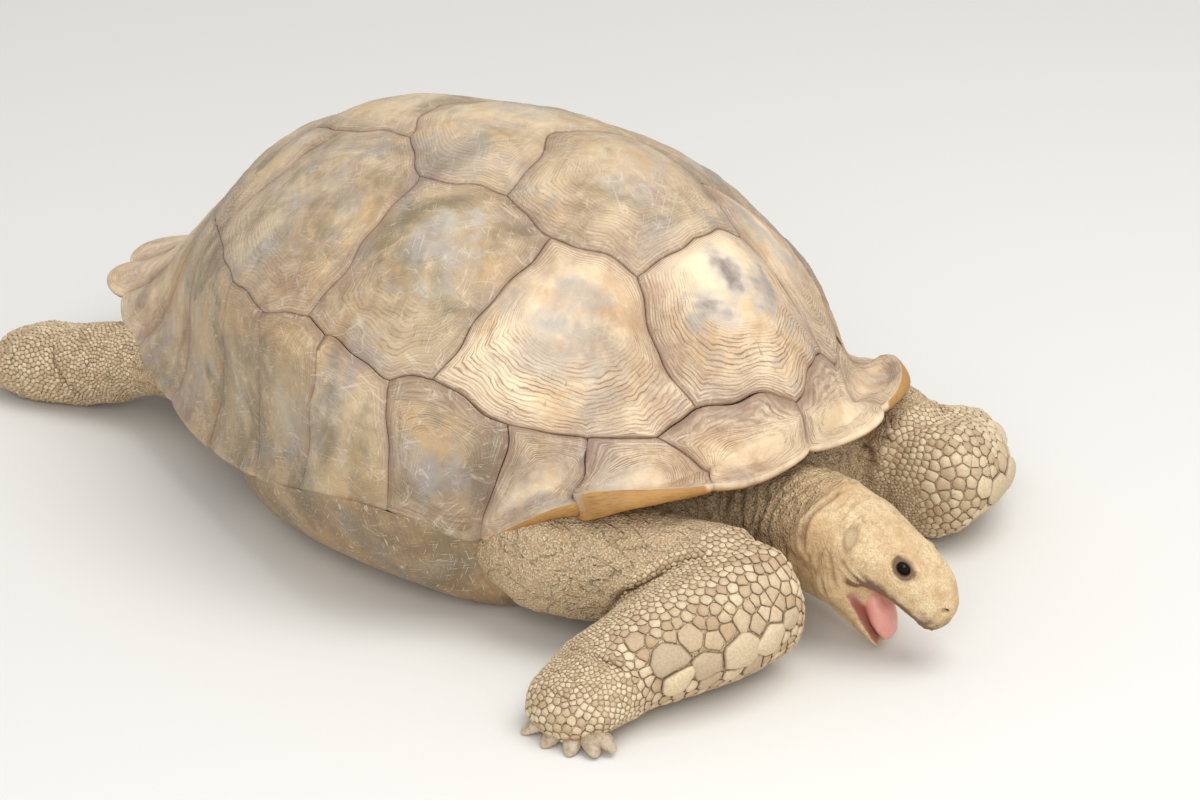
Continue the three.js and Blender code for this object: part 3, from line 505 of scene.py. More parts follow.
    # scuffs: fine pale scratches that curve a little, drawn 0.5 mm wide so that they show, most on dark horn
    sway = add(tree, "TexNoise", {"Vector": place, "Scale": 16.0, "Detail": 1.0}, "Color")
    swayed = add(tree, "VectorMath", [sway, (0.012, 0.012, 0.012), place], operation="MULTIPLY_ADD")
    broken = add(tree, "TexNoise", {"Vector": place, "Scale": 70.0, "Detail": 1.0}, "Color")
    kept = add(tree, "SeparateColor", [broken]).node.outputs
    scuffed = 0.0
    for turn, long, mask in (((0.4, 0.3, 0.7), 0.12, "Red"), ((0.2, 1.2, -0.5), 0.07, "Green"),
                             ((1.3, -0.4, 1.5), 0.1, "Blue"), ((-0.7, 0.5, 2.3), 0.08, "Red"),
                             ((0.9, -1.1, 0.2), 0.07, "Green"), ((-0.4, -0.8, -1.3), 0.1, "Blue")):
        drawn = add(tree, "Mapping", {"Vector": swayed, "Rotation": turn, "Scale": (0.003, long, long)},
                    vector_type="TEXTURE")
        scuff = add(tree, "TexNoise", {"Vector": drawn, "Scale": 1.0, "Detail": 1.0})
        centred = add(tree, "Math", [scuff, 0.5], operation="SUBTRACT")
        far = add(tree, "Math", [centred], operation="ABSOLUTE")
        cut = add(tree, "MapRange", [far, 0.002, 0.016, 1.0, 0.0])
        there = add(tree, "MapRange", [kept[mask], 0.5, 0.6])
        dash = add(tree, "Math", [cut, there], operation="MULTIPLY")
        scuffed = add(tree, "Math", [dash, scuffed], operation="MAXIMUM")
    scuff_most = add(tree, "MapRange", [value["pale"], 0.3, 1.0, 0.3, 0.16])
    scuff_part = add(tree, "Math", [scuffed, scuff_most], operation="MULTIPLY")
    # the golden underside
    gold = add(tree, "Mix", {0: patch, 6: "#8a5c28", 7: "#cf9d52"}, **COLOUR)
    streak = add(tree, "Mix", {0: fine, 6: gold, 7: "#5f3f22"}, **COLOUR)
    turned = add(tree, "MapRange", [value["below"], 0.3, 0.8])
    for much, colour in ((band_here, dark), (fine_here, "#866d55"), (line_dark, "#745840"),
                         (crack_young, "#6b503a"), (wear_edge, grey), (bared, bone), (seamed, "#85695c"),
                         (beside_part, "#8c6e5a"), (scuff_part, "#efe2cc"), (turned, streak)):
        tone = add(tree, "Mix", {0: much, 6: tone, 7: colour}, **COLOUR)
    dull = add(tree, "MapRange", [patch, 0.3, 0.7, 0.46, 0.68])
    groove = add(tree, "Math", [striae, fine_shown], operation="MULTIPLY")
    relief = add(tree, "Math", [groove, 1.1, patch], operation="MULTIPLY_ADD")
    rough = add(tree, "Math", [speck, 0.35, relief], operation="MULTIPLY_ADD")
    bump = add(tree, "Bump", {"Height": rough, "Strength": 0.6, "Distance": 0.0009})
    fill(tree, shader, {"Base Color": tone, "Roughness": dull, "IOR": HORN_IOR, "Normal": bump})
    return material


horn = keratin_horn()
plates = {}
for name, corners in MIDLINE.items():
    left = [(corner, 1) for corner in reversed(corners) if MEET[corner][1] % 180]
    plates[name] = [(corner, -1) for corner in corners] + left
for name, corners in SIDED.items():
    plates[name + "_right"] = [(corner, -1) for corner in corners]
    plates[name + "_left"] = [(corner, 1) for corner in corners]
for number, (name, corners) in enumerate(plates.items()):
    kind = name.removesuffix("_right").removesuffix("_left")
    piece = horn_plate(name + "_horn", corners, WEAR[kind], 11 * number)
    piece.data.materials.append(horn)
    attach(piece, "root")
    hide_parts(name)

# ---------------------------------------------------------------- the belly shell
# The plastron and its bridges: pale horn plates in pairs over bone, fused to the carapace at the
# sides. Its middle is the flat that the animal rests on.
# along, half the flat's width, half the whole width, height of the edge, rise of the flat, in mm
BELLY_FRONT_LOBE = [[206, 26, 38, 9, 22], [178, 48, 66, 9, 16], [150, 72, 92, 10, 9], [124, 92, 114, 12, 3]]
BELLY_BACK_LOBE = [[-214, 98, 124, 13, 0], [-270, 92, 118, 12, 1], [-340, 66, 92, 10, 4],
                   [-392, 34, 56, 9, 9]]
SEAM_WIDTH = 1.6
BRIDGE_TURN = np.radians([61, 70, 80, 90, 98, 106, 114, 121])
BELLY_SEAM_X = [168, 118, 30, -120, -250, -330]       # between the pairs of belly plates


def through(p, f):
    """The Catmull-Rom cubic between p[1] and p[2] at the fraction f, with p[0] and p[3] beyond them."""
    return 0.5 * (2 * p[1] + (p[2] - p[0]) * f + (2 * p[0] - 5 * p[1] + 4 * p[2] - p[3]) * f ** 2
                  + (3 * p[1] - p[0] - 3 * p[2] + p[3]) * f ** 3)


def spline(stations, steps):
    """A smooth curve through stations along the first axis, at steps even parameters."""
    stations = np.asarray(stations, dtype=float)
    t = np.linspace(0, len(stations) - 1, steps)
    i = np.minimum(t.astype(int), len(stations) - 2)
    f = (t - i).reshape(-1, *[1] * (stations.ndim - 1))
    return through([stations[np.clip(i + k, 0, len(stations) - 1)] for k in (-1, 0, 1, 2)], f)


def rounded(rows, around):
    """Each closed ring of corners made a smooth closed curve of around points."""
    t = np.linspace(0, rows.shape[1], around, endpoint=False)
    i = t.astype(int)
    return through([rows[:, (i + k) % rows.shape[1]] for k in (-1, 0, 1, 2)], (t - i)[None, :, None])


def both_halves(half):
    """Rings of corners from left halves: rows of [x, y, z] whose first and last lie on the midline."""
    return np.concatenate([half, half[:, -2:0:-1] * [1, -1, 1]], axis=1)


edge = (shell(2.02 * np.cos(BRIDGE_TURN), 2.02 * np.sin(BRIDGE_TURN)) - home) / MM
tucked = np.array([10, 4, 1, 1, 1, 2, 8, 26])           # how far the bridge's edge stands in from the rim
level = np.array([146, 158, 164, 165, 165, 163, 158, 148])
bridge = np.stack([edge[:, 0], level, edge[:, 1] - tucked, edge[:, 2] - 4, [4, 1, 0, 0, 0, 0, 0, 0]], -1)
x, flat, wide, high, rise = spline(np.concatenate([BELLY_FRONT_LOBE, bridge, BELLY_BACK_LOBE]), 150).T
inner_drop = np.where(high > 20, -4, 3)
half = np.stack([
    np.stack([x, 0 * x, rise], -1), np.stack([x, flat * 0.6, rise], -1), np.stack([x, flat - 1, rise], -1),
    np.stack([x, flat + 0.66 * (wide - flat), rise + high * 0.36], -1), np.stack([x, wide, rise + high], -1),
    np.stack([x, wide - 9, rise + high + inner_drop], -1), np.stack([x, flat - 6, rise + 12], -1),
    np.stack([x, 0 * x, rise + 12], -1),
], axis=1)
belly = rounded(both_halves(half), 150)
across_seam = np.min([np.abs(belly[..., 0] - place) for place in BELLY_SEAM_X], axis=0)
groove = np.exp(-(across_seam / SEAM_WIDTH) ** 2) + np.exp(-(belly[..., 1] / SEAM_WIDTH) ** 2)
facing = np.clip((rise[:, None] + 11 + 0.25 * np.abs(belly[..., 1]) - belly[..., 2]) / 10, 0, 1)
belly[..., 2] = np.maximum(belly[..., 2], 0) + 1.1 * np.minimum(groove, 1) * facing
plate_line = np.minimum(across_seam, np.abs(belly[..., 1]))
flank = rising(np.abs(belly[..., 1]), 120, 175) * rising(belly[..., 2], 1, 8)
belly = home + MM * belly
belly_shell = make_piece("belly_shell", *closed_grid(belly, belly[0].mean(0), belly[-1].mean(0)),
                         {"seam": with_ends(plate_line), "flank": [*flank.ravel(), 0, 0]})


def belly_horn():
    """Plastron horn: ivory keratin rubbed smooth beneath and lined near its seams; on the bridges it is
    brown like the shell's sides, clouded and scratched."""
    material, tree, shader, place, value = new_finish("belly_horn_rubbed", "seam", "flank")
    broad = add(tree, "TexNoise", {"Vector": place, "Scale": 26.0, "Detail": 7.0, "Roughness": 0.66})
    rings = add(tree, "Math", [value["seam"], 1.7], operation="MULTIPLY")
    wavering = add(tree, "Math", [broad, 16.0, rings], operation="MULTIPLY_ADD")
    wave = add(tree, "Math", [wavering], operation="SINE")
    clouds = add(tree, "MapRange", [broad, 0.38, 0.62])
    ivory = add(tree, "Mix", {0: clouds, 6: "#a98a5e", 7: "#dcc79d"}, **COLOUR)
    brown = add(tree, "Mix", {0: clouds, 6: "#8a7154", 7: "#b0946f"}, **COLOUR)
    tint = add(tree, "TexNoise", {"Vector": place, "Scale": 17.0, "Detail": 7.0, "Roughness": 0.62}, "Color")
    stains = add(tree, "SeparateColor", [tint]).node.outputs
    for channel, colour in (("Red", "#c49a62"), ("Green", "#8f8b86"), ("Blue", "#6f6347")):
        stain = add(tree, "MapRange", [stains[channel], 0.5, 0.64, 0.0, 0.6])
        brown = add(tree, "Mix", {0: stain, 6: brown, 7: colour}, **COLOUR)
    tone = add(tree, "Mix", {0: value["flank"], 6: ivory, 7: brown}, **COLOUR)
    faint = add(tree, "MapRange", [wave, 0.2, 1.0, 0.0, 0.26])
    tone = add(tree, "Mix", {0: faint, 6: tone, 7: "#7d6346"}, **COLOUR)
    for turn in ((0.4, 0.3, 0.7), (1.3, -0.4, 1.5), (0.2, 1.2, -0.5), (-0.7, 0.5, 2.3)):
        drawn = add(tree, "Mapping", {"Vector": place, "Rotation": turn, "Scale": (0.0008, 0.014, 0.014)},
                    vector_type="TEXTURE")
        scuff = add(tree, "TexNoise", {"Vector": drawn, "Scale": 1.0, "Detail": 2.0})
        cut = add(tree, "MapRange", [scuff, 0.66, 0.71, 0.0, 0.5])
        tone = add(tree, "Mix", {0: cut, 6: tone, 7: "#e6d6b8"}, **COLOUR)
    near = add(tree, "MapRange", [value["seam"], 0.0, 2.5, 0.8, 0.0])
    tone = add(tree, "Mix", {0: near, 6: tone, 7: "#6f5740"}, **COLOUR)
    bump = add(tree, "Bump", {"Height": broad, "Strength": 0.5, "Distance": 0.0015})
    fill(tree, shader, {"Base Color": tone, "Roughness": 0.55, "IOR": HORN_IOR, "Normal": bump})
    return material


belly_shell.data.materials.append(belly_horn())
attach(belly_shell, "root")
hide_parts("plastron")

# ---------------------------------------------------------------- the hide
# One thick dry skin over neck, head, limbs, tail and the body wall between the shells. It hangs in
# folds where a limb bends, and is set all over with small horny grains. It is grown as smooth lofts
# fused into one surface; the folds, lids, nostrils and lips are then pressed into it.
# stations of the limbs: a section's middle, half width and half height, in mm
NECK = [
    [120, 0, 72, 44, 38], [175, 0, 68, 44, 40], [225, -4, 66, 43, 42], [268, -14, 68, 42, 45],
    [304, -24, 66, 37, 42],
]
TAIL = [[-360, 0, 62, 26, 22], [-404, 4, 52, 22, 18], [-440, 8, 38, 15, 12], [-462, 12, 28, 8, 7]]
UPPER_ARM = {
    "right": [[84, -160, 68, 42, 36], [130, -163, 64, 46, 45], [185, -138, 62, 46, 42],
              [248, -111, 55, 44, 44]],
    "left": [[78, 160, 70, 41, 36], [120, 167, 66, 44, 44], [165, 166, 66, 45, 43], [206, 158, 56, 43, 44]],
}
FOREARM = {
    "right": [
        [271, -104, 53, 41, 44], [267, -149, 49, 44, 43], [256, -196, 42, 42, 37], [249, -222, 36, 38, 32],
        [246, -248, 28, 40, 27.5], [244, -272, 21, 37, 20.5], [243, -284, 15, 28, 14],
    ],
    "left": [
        [236, 142, 52, 40, 43], [226, 178, 50, 44, 42], [202, 214, 45, 42, 38], [187, 235, 37, 38, 32],
        [172, 256, 29, 40, 28], [158, 276, 21.5, 37, 21], [151, 286, 15, 28, 14],
    ],
}
ARMPIT = [[142, 36, 56, 36, 40], [152, 76, 54, 36, 42], [158, 116, 52, 34, 42]]
HIND_LEG = [
    [-236, 116, 66, 32, 26], [-290, 111, 62, 34, 27], [-345, 106, 55, 33, 26], [-377, 106, 53, 33, 28],
    [-408, 112, 44, 35, 31], [-440, 122, 36, 36, 33], [-457, 126, 33, 36, 32], [-482, 134, 30, 37, 31],
    [-504, 139, 25, 31, 25.5], [-516, 141, 20, 20, 17],
]
FAR_LEG_DRAWN_UP = [26, -6, 0, 0, 0]
HEAD_AT = np.array([295, -25, 120.5])
HEAD_FORWARD = unit(np.array([0.771, 0.124, -0.625]))
HEAD_LEFT = unit(np.array([-0.159, 0.987, 0]))
HEAD_UP = np.cross(HEAD_FORWARD, HEAD_LEFT)
HEAD_AXES = np.stack([HEAD_FORWARD, HEAD_LEFT, HEAD_UP])
# forward, top, underside, half width, half width of the crown
SKULL = [
    [-8, -7, -62, 33, 17], [6, -1, -60, 36.5, 19], [24, 4.5, -52, 38, 20], [42, 6.5, -43, 35, 20],
    [57, 7, -36, 30, 20], [68, 7.5, -31.5, 27.5, 20], [82, 8, -28, 24.5, 19.5], [95, 5.5, -28.5, 21, 15.5],
    [106, 0.5, -31, 15, 10], [112.5, -7, -29.5, 8.5, 5.5],
]
# forward, top, underside, half width
JAW = [[34, -54, -79, 29], [50, -50, -78, 28], [66, -56, -77, 24], [82, -64.5, -76.5, 18.5],
       [93, -70.5, -76.5, 11]]
EYE_PLACE = [64.5, 14.8, -3.6]
EYE_RADIUS = 7.5
LID_RADIUS = 8.9
EARDRUM = [24.6, 33, -10]
NOSTRIL = [107, 8, -6.5]
VOXEL = 2.9 * MM
END_ROUNDING = 0.45                     # how far a limb's end stands out, as a share of its half width


def cross_axes(way):
    """The level direction to the left of a way, and the one square to both."""
    side = unit(np.cross([0.0, 0.0, 1.0], way))
    return side, np.cross(way, side)


def tube(stations, steps, around):
    """Elliptical sections, centre + wide cos a side + high sin a up, along a smooth line.

    Each end is closed by half an ellipsoid."""
    table = spline(stations, steps)
    centre, wide, high = table[:, :3], table[:, 3:4], table[:, 4:5]
    along = unit(np.gradient(centre, axis=0))
    cap = np.radians([72, 50, 30, 12])[:, None]
    near = centre[0] - along[0] * END_ROUNDING * wide[0] * np.sin(cap)
    far = centre[-1] + along[-1] * END_ROUNDING * wide[-1] * np.sin(cap[::-1])
    centre = np.concatenate([near, centre, far])
    along = np.concatenate([along[[0] * 4], along, along[[-1] * 4]])
    wide, high = (np.concatenate([v[0] * np.cos(cap), v, v[-1] * np.cos(cap[::-1])]) for v in (wide, high))
    side, up = cross_axes(along)
    turn = even_turns(around)
    rows = centre[:, None] + side[:, None] * (wide * np.cos(turn))[..., None]
    rows = rows + up[:, None] * (high * np.sin(turn))[..., None]
    first = table[0, :3] - along[0] * END_ROUNDING * table[0, 3]
    return closed_grid(rows, first, table[-1, :3] + along[-1] * END_ROUNDING * table[-1, 3])


def on_head(place):
    """Millimetres forward, left and up from the back of the head's top, as a place on the animal."""
    return HEAD_AT + np.asarray(place, dtype=float) @ HEAD_AXES


def to_head(points):
    """The opposite of on_head."""
    return (points - HEAD_AT) @ HEAD_AXES.T


def head_loft():
    """Skull sections with a rounded crown, cheeks and an arched palate, through a smooth line."""
    f, top, low, wide, crown = spline(SKULL, 46).T
    tall = top - low
    y = np.stack([0 * f, crown * 0.6, crown, wide, wide * 0.97, wide * 0.8, wide * 0.4, 0 * f], 1)
    z = np.stack([top, top - 1, top - 7, top - tall * 0.4, low + tall * 0.2, low, low + 4, low + 5], 1)
    ring = both_halves(np.stack([np.repeat(f[:, None], 8, 1), y, z], -1))
    return closed_grid(on_head(rounded(ring, 72)), on_head([-14, 0, -32]), on_head([115.5, 0, -19]))


def jaw_loft():
    """Lower jaw sections, hollowed between two raised edges, through a smooth line."""
    f, top, low, wide = spline(JAW, 24).T
    y = np.stack([0 * f, wide * 0.62, wide * 0.95, wide, wide * 0.85, wide * 0.5, 0 * f], 1)
    z = np.stack([top - 4, top - 2, top, top - 3, (top + low) / 2, low, low - 0.5], 1)
    ring = rounded(both_halves(np.stack([np.repeat(f[:, None], 7, 1), y, z], -1)), 56)
    return closed_grid(on_head(ring), on_head(ring[0].mean(0)), on_head(ring[-1].mean(0)))


def body_wall():
    """The body inside the shells: rings a little under the horn above, drawn in round the limbs' roots
    at front and rear, and down to a foot ring just over the belly shell."""
    t = (np.arange(112) + 0.5) * 2 * np.pi / 112
    out = np.stack([np.cos(t), np.sin(t), 0 * t], -1)

    def under(rho, depth):
        p, q = rho * np.cos(t), rho * np.sin(t)
        return (shell(p, q) - home) / MM - depth * shell_normal(p, q)

    angle = np.abs(np.degrees(np.arctan2(np.sin(t), np.cos(t))))
    side = (np.clip((angle - 56) / 10, 0, 1) - np.clip((angle - 116) / 10, 0, 1))[:, None]
    length = np.where(out[:, 0] > 0, 190, 270)
    foot = np.stack([-66 + length * out[:, 0], (132 + 14 * side[:, 0]) * out[:, 1], 18 + 0 * t], -1)
    wall = under(1.7, 0)
    waist_free = np.stack([foot[:, 0] * 0.96 + 6 * out[:, 0], foot[:, 1] * 0.98, 62 + 0 * t], -1)
    waist_shut = np.stack([wall[:, 0] * 0.97 - 3, wall[:, 1] - 34 * np.sign(out[:, 1]), 58 + 0 * t], -1)
    waist = waist_free + (waist_shut - waist_free) * side
    high = foot + [0, 0, 92]
    shoulder_free = high + (wall - high) * 0.35 + [0, 0, 6]
    shoulder = shoulder_free + (under(1.7, 13) - shoulder_free) * side
    rings = [under(rho, 11.5) for rho in (0.35, 0.7, 1.0, 1.28)] + [shoulder, waist, foot]
    rows = spline(rings, 44)
    return closed_grid(rows, rows[0].mean(0), rows[-1].mean(0))


def sided(stations, side):
    """Hind-leg stations for a side; the left leg is drawn up a little more."""
    mirrored = np.array(stations) * [1, 1 if side == "left" else -1, 1, 1, 1]
    return mirrored + FAR_LEG_DRAWN_UP if side == "left" else mirrored


def smoothed(points, edges, weight, rounds):
    """Each point moved towards the mean of its neighbours, half the way times its weight, in rounds."""
    count = np.bincount(edges.ravel(), minlength=len(points))[:, None]
    a, b = edges.T
    for _ in range(rounds):
        total = np.stack([np.bincount(a, points[b, k], len(points))
                          + np.bincount(b, points[a, k], len(points)) for k in range(3)], -1)
        points = points + 0.5 * weight * (total / np.maximum(count, 1) - points)
    return points


def near_line(points, path):
    """Each point's distance to a smooth line through the path's places, and how far along it lies, 0 to 1."""
    line = spline(path, 4 * len(path) - 3)
    a, b = line[:-1], line[1:]
    along = b - a
    offset = points[:, None] - a
    f = np.clip((offset * along).sum(-1) / (along ** 2).sum(-1), 0, 1)
    gap = np.linalg.norm(offset - f[..., None] * along, axis=-1)
    nearest = gap.argmin(1)
    rows = np.arange(len(points))
    return gap[rows, nearest], (nearest + f[rows, nearest]) / len(a)


def fold(points, width, depth, path):
    """A crease: -depth exp(-(d / width)^2) and a roll of half that height beside it, fading at its ends."""
    path = np.asarray(path, dtype=float)
    reach = 4 * width
    close = np.all((points > path.min(0) - reach) & (points < path.max(0) + reach), axis=1)
    pressed = np.zeros(len(points))
    d, along = near_line(points[close], path)
    fade = np.clip(5 * along * (1 - along), 0, 1) ** 0.6
    profile = -np.exp(-(d / width) ** 2) + 0.5 * np.exp(-((d - 2 * width) / width) ** 2)
    pressed[close] = depth * fade * profile
    return pressed


def carried(places, start, end):
    """Places round one limb moved to the like places round another of the opposite hand.

    Each is read as a length along the limb and two offsets across it as shares of its half width
    and half height, and the first offset is turned over."""
    frames = []
    for stations in (start, end):
        table = spline(stations, 60)
        along = unit(np.gradient(table[:, :3], axis=0))
        frames.append((table, along, *cross_axes(along)))
    (table, along, side, up), (table_b, along_b, side_b, up_b) = frames
    places = np.asarray(places, dtype=float)
    i = np.linalg.norm(places[:, None] - table[:, :3], axis=-1).argmin(1)
    offset = places - table[i, :3]
    a = (offset * side[i]).sum(-1) / table[i, 3]
    b = (offset * up[i]).sum(-1) / table[i, 4]
    c = (offset * along[i]).sum(-1)
    moved = table_b[i, :3] + along_b[i] * c[:, None] - side_b[i] * (a * table_b[i, 3])[:, None]
    return moved + up_b[i] * (b * table_b[i, 4])[:, None]


# creases of the right upper arm, wrist and hand: width, depth, places; the left ones are carried over
ARM_FOLDS = [
    (3.0, 5.0, [[190, -176, 38], [203, -178, 57], [216, -172, 67], [227, -164, 76], [241, -147, 87],
                [256, -138, 90]]),
    (1.8, 1.6, [[200, -178, 48], [208, -178, 60], [221, -172, 70], [230, -165, 78]]),
    (2.4, 3.2, [[160, -193, 48], [168, -190, 59], [178, -187, 69], [187, -182, 76], [200, -171, 84],
                [212, -155, 94]]),
    (2.0, 2.2, [[116, -196, 50], [125, -197, 57], [144, -199, 68], [159, -194, 72], [174, -184, 84]]),
    (1.8, 1.8, [[150, -194, 52], [158, -193, 60], [166, -190, 63], [176, -187, 68]]),
    (1.6, 1.4, [[178, -187, 64], [192, -182, 71], [206, -174, 75]]),
    (2.2, 2.4, [[192, -112, 97], [195, -122, 100], [200, -137, 100], [200, -150, 97]]),
    (2.0, 2.2, [[214, -104, 92], [215, -122, 98], [213, -140, 98], [206, -152, 94]]),
    (2.4, 2.6, [[120, -150, 108], [140, -160, 108], [158, -172, 100], [170, -182, 92]]),
    (2.2, 2.4, [[108, -190, 82], [126, -196, 84], [146, -194, 88], [160, -184, 94]]),
]
HAND_FOLDS = [
    (2.4, 3.4, [[218, -238, 38], [222, -247, 46], [229, -252, 51], [253, -254, 53], [269, -250, 51],
                [283, -236, 40]]),
    (1.6, 1.5, [[220, -276, 26], [227, -282, 32], [241, -284, 35], [254, -285, 33], [266, -281, 32]]),
    (1.4, 1.2, [[222, -268, 36], [225, -271, 40], [238, -272, 43], [254, -274, 42], [266, -268, 40]]),
]
# creases across the far shoulder, meeting where the hide is pinched
SHOULDER_FOLDS = [
    (2.6, 3.2, [[190, 119, 77], [182, 121, 68], [171, 122, 62], [160, 124, 54]]),
    (2.2, 2.8, [[188, 120, 78], [184, 121, 62], [178, 121, 50]]),
    (2.2, 2.6, [[190, 120, 78], [198, 119, 68], [206, 119, 60]]),
    (2.4, 2.6, [[188, 122, 84], [200, 124, 86], [212, 128, 84]]),
]
NECK_FOLDS = [
    (2.4, 3.4, [[246, 0, 108], [240, -20, 106], [234, -34, 98], [232, -42, 88], [232, -47, 78],
                [236, -49, 66], [246, -50, 54]]),
    (2.2, 2.6, [[214, 0, 107], [212, -22, 100], [217, -33, 95], [223, -40, 88], [221, -45, 76],
                [218, -46, 62], [214, -42, 48]]),
    (1.6, 1.8, [[204, -26, 96], [211, -38, 89], [214, -43, 80], [213, -45, 70], [209, -44, 56]]),
    (1.6, 1.8, [[262, -14, 112], [252, -27, 108], [246, -35, 102], [240, -42, 93], [239, -48, 80]]),
    (2.0, 2.4, [[200, 0, 106], [197, -30, 95], [201, -40, 85], [205, -45, 72], [206, -42, 54]]),
    (1.8, 2.0, [[270, -40, 100], [262, -47, 92], [256, -53, 80], [254, -54, 66], [258, -50, 52]]),
    (2.0, 2.2, [[182, 0, 106], [184, -28, 96], [188, -41, 82], [190, -43, 64]]),
    (1.6, 1.6, [[226, -6, 108], [226, -24, 103], [229, -34, 97]]),
]
# the same in the head's own millimetres; the second number is mirrored for the left
HEAD_FOLDS = [
    (2.4, 3.0, [[14, -40, -52], [5, -37, -44], [-3, -34, -32], [-7, -27, -23], [-7, -15, -12],
                [-4, -5, -8], [-3, 0, -7]]),
    (1.5, 1.1, [[6, -14, -3], [12, -18, -3], [20, -20, -1], [29, -24, -2], [36, -29, -6], [40, -33, -12]]),
    (1.4, 1.0, [[8, -20, -7], [14, -27, -11], [20, -33, -14], [28, -37, -17], [33, -38, -22]]),
    (1.4, 0.9, [[14, -16, 1], [23, -18, 2], [33, -22, 2], [42, -27, -3]]),
    (1.8, 2.0, [[31, -38, -24], [38, -37, -28], [47, -33, -31], [54, -29, -33]]),
    (1.8, 2.0, [[12, -36, -44], [18, -37, -52], [28, -34, -62], [40, -26, -72]]),
    (1.8, 2.2, [[18, -39, -34], [22, -38, -44], [32, -34, -55], [44, -28, -66]]),
    (1.6, 1.6, [[22, -39, -27], [28, -38, -34], [36, -34, -43], [46, -29, -53]]),
    (1.4, 0.8, [[44, -22, 6], [52, -20, 8], [62, -19, 9], [72, -17, 8]]),
    (1.4, 0.7, [[60, -28, -16], [72, -26, -14], [84, -23, -13], [95, -18, -12]]),
]
LEG_FOLDS = [
    (2.6, 3.0, [[-452, 146, 60], [-445, 155, 52], [-439, 158, 44], [-424, 153, 29], [-420, 140, 12]]),
    (2.2, 2.2, [[-376, 128, 76], [-382, 138, 66], [-388, 144, 54], [-386, 140, 36]]),
    (1.8, 1.8, [[-404, 134, 70], [-408, 144, 60], [-408, 147, 46], [-402, 143, 30]]),
    (2.0, 2.0, [[-346, 140, 74], [-352, 146, 60], [-350, 140, 44]]),
    (1.8, 1.6, [[-478, 160, 52], [-482, 168, 40], [-478, 168, 26]]),
]
# rises and hollows of the head, mirrored too: place, radii, height; brow, snout, eardrum, cheek, nostril
HEAD_SWELLS = [
    ([60, 19, 4], [13, 7, 5], 0.5), ([94, 10, 5], [8, 6, 5], 0.6), (EARDRUM, [5, 9, 7.5], -1.8),
    (EARDRUM, [9.5, 14, 11.5], 0.9), ([74, 24, -14], [12, 8, 7], 0.9), (NOSTRIL, [3.0, 4, 1.6], -4.2),
    ([106, 8, -6], [6.5, 6, 4.5], 1.0),
]
folds = [(w, d, path) for w, d, path in ARM_FOLDS + HAND_FOLDS + SHOULDER_FOLDS]
folds += [(w, d, carried(path, UPPER_ARM["right"], UPPER_ARM["left"])) for w, d, path in ARM_FOLDS]
folds += [(w, d, carried(path, FOREARM["right"], FOREARM["left"])) for w, d, path in HAND_FOLDS]
folds += [(w, d, np.array(path) * [1, k, 1] + [0, -8 * (k < 0), 0])
          for w, d, path in NECK_FOLDS for k in (1, -1)]
folds += [(w, d, on_head(np.array(path) * [1, k, 1])) for w, d, path in HEAD_FOLDS for k in (1, -1)]
folds += [(w, d, np.array(path) * [1, -1, 1]) for w, d, path in LEG_FOLDS]
folds += [(w, d, np.array(path) + FAR_LEG_DRAWN_UP[:3]) for w, d, path in LEG_FOLDS]

limbs = [tube(UPPER_ARM[side], 60, 72) for side in ("right", "left")]
limbs += [tube(FOREARM[side], 80, 72) for side in ("right", "left")]
limbs += [tube(sided(HIND_LEG, side), 100, 72) for side in ("right", "left")]
limbs += [tube(np.array(ARMPIT) * [1, hand, 1, 1, 1], 40, 60) for hand in (-1, 1)]
soft_forms = joined([tube(NECK, 60, 80), tube(TAIL, 40, 48), head_loft(), jaw_loft(), *limbs])
rough = make_piece("rough_forms", home + MM * soft_forms[0], *soft_forms[1:])
join = rough.modifiers.new("join", "REMESH")
join.mode = "VOXEL"
join.voxel_size = VOXEL
ease = rough.modifiers.new("ease", "SMOOTH")
ease.iterations = 5
joined_mesh = bpy.data.meshes.new_from_object(rough.evaluated_get(bpy.context.evaluated_depsgraph_get()))
bpy.data.objects.remove(rough)


def head_share(points):
    """1 over the head, falling to 0 across the back of its hood."""
    place = to_head(points)
    return np.clip((place[:, 0] + 0.25 * (place[:, 2] + 30) + 14) / 12, 0, 1) * (np.abs(place[:, 1]) < 60)


def edge_ends(mesh):
    """The two points of each edge."""
    ends = np.empty(len(mesh.edges) * 2, dtype=np.int32)
    mesh.edges.foreach_get("vertices", ends)
    return ends.reshape(-1, 2)


def split_faces(mesh, wanted, extra=None):
    """Splits the edges whose two ends are both wanted, and adds a second mesh if one is given."""
    chosen = wanted(hide_points(mesh))[edge_ends(mesh)].all(1)
    work = bmesh.new()
    work.from_mesh(mesh)
    work.edges.ensure_lookup_table()
    edges = [work.edges[i] for i in np.flatnonzero(chosen)]
    bmesh.ops.subdivide_edges(work, edges=edges, cuts=1, use_grid_fill=True)
    if extra is not None:
        work.from_mesh(extra)
    work.to_mesh(mesh)
    work.free()


def hide_points(mesh):
    """The mesh's points in the animal's own millimetres."""
    flat = np.empty(len(mesh.vertices) * 3, dtype=np.float32)
    mesh.vertices.foreach_get("co", flat)
    return (flat.reshape(-1, 3).astype(float) - home) / MM


def put_points(mesh, points):
    """Places the mesh's points, and gives its new normals."""
    mesh.vertices.foreach_set("co", (home + MM * points).astype(np.float32).ravel())
    mesh.update()
    flat = np.empty(len(points) * 3, dtype=np.float32)
    mesh.vertex_normals.foreach_get("vector", flat)
    return flat.reshape(-1, 3).astype(float)


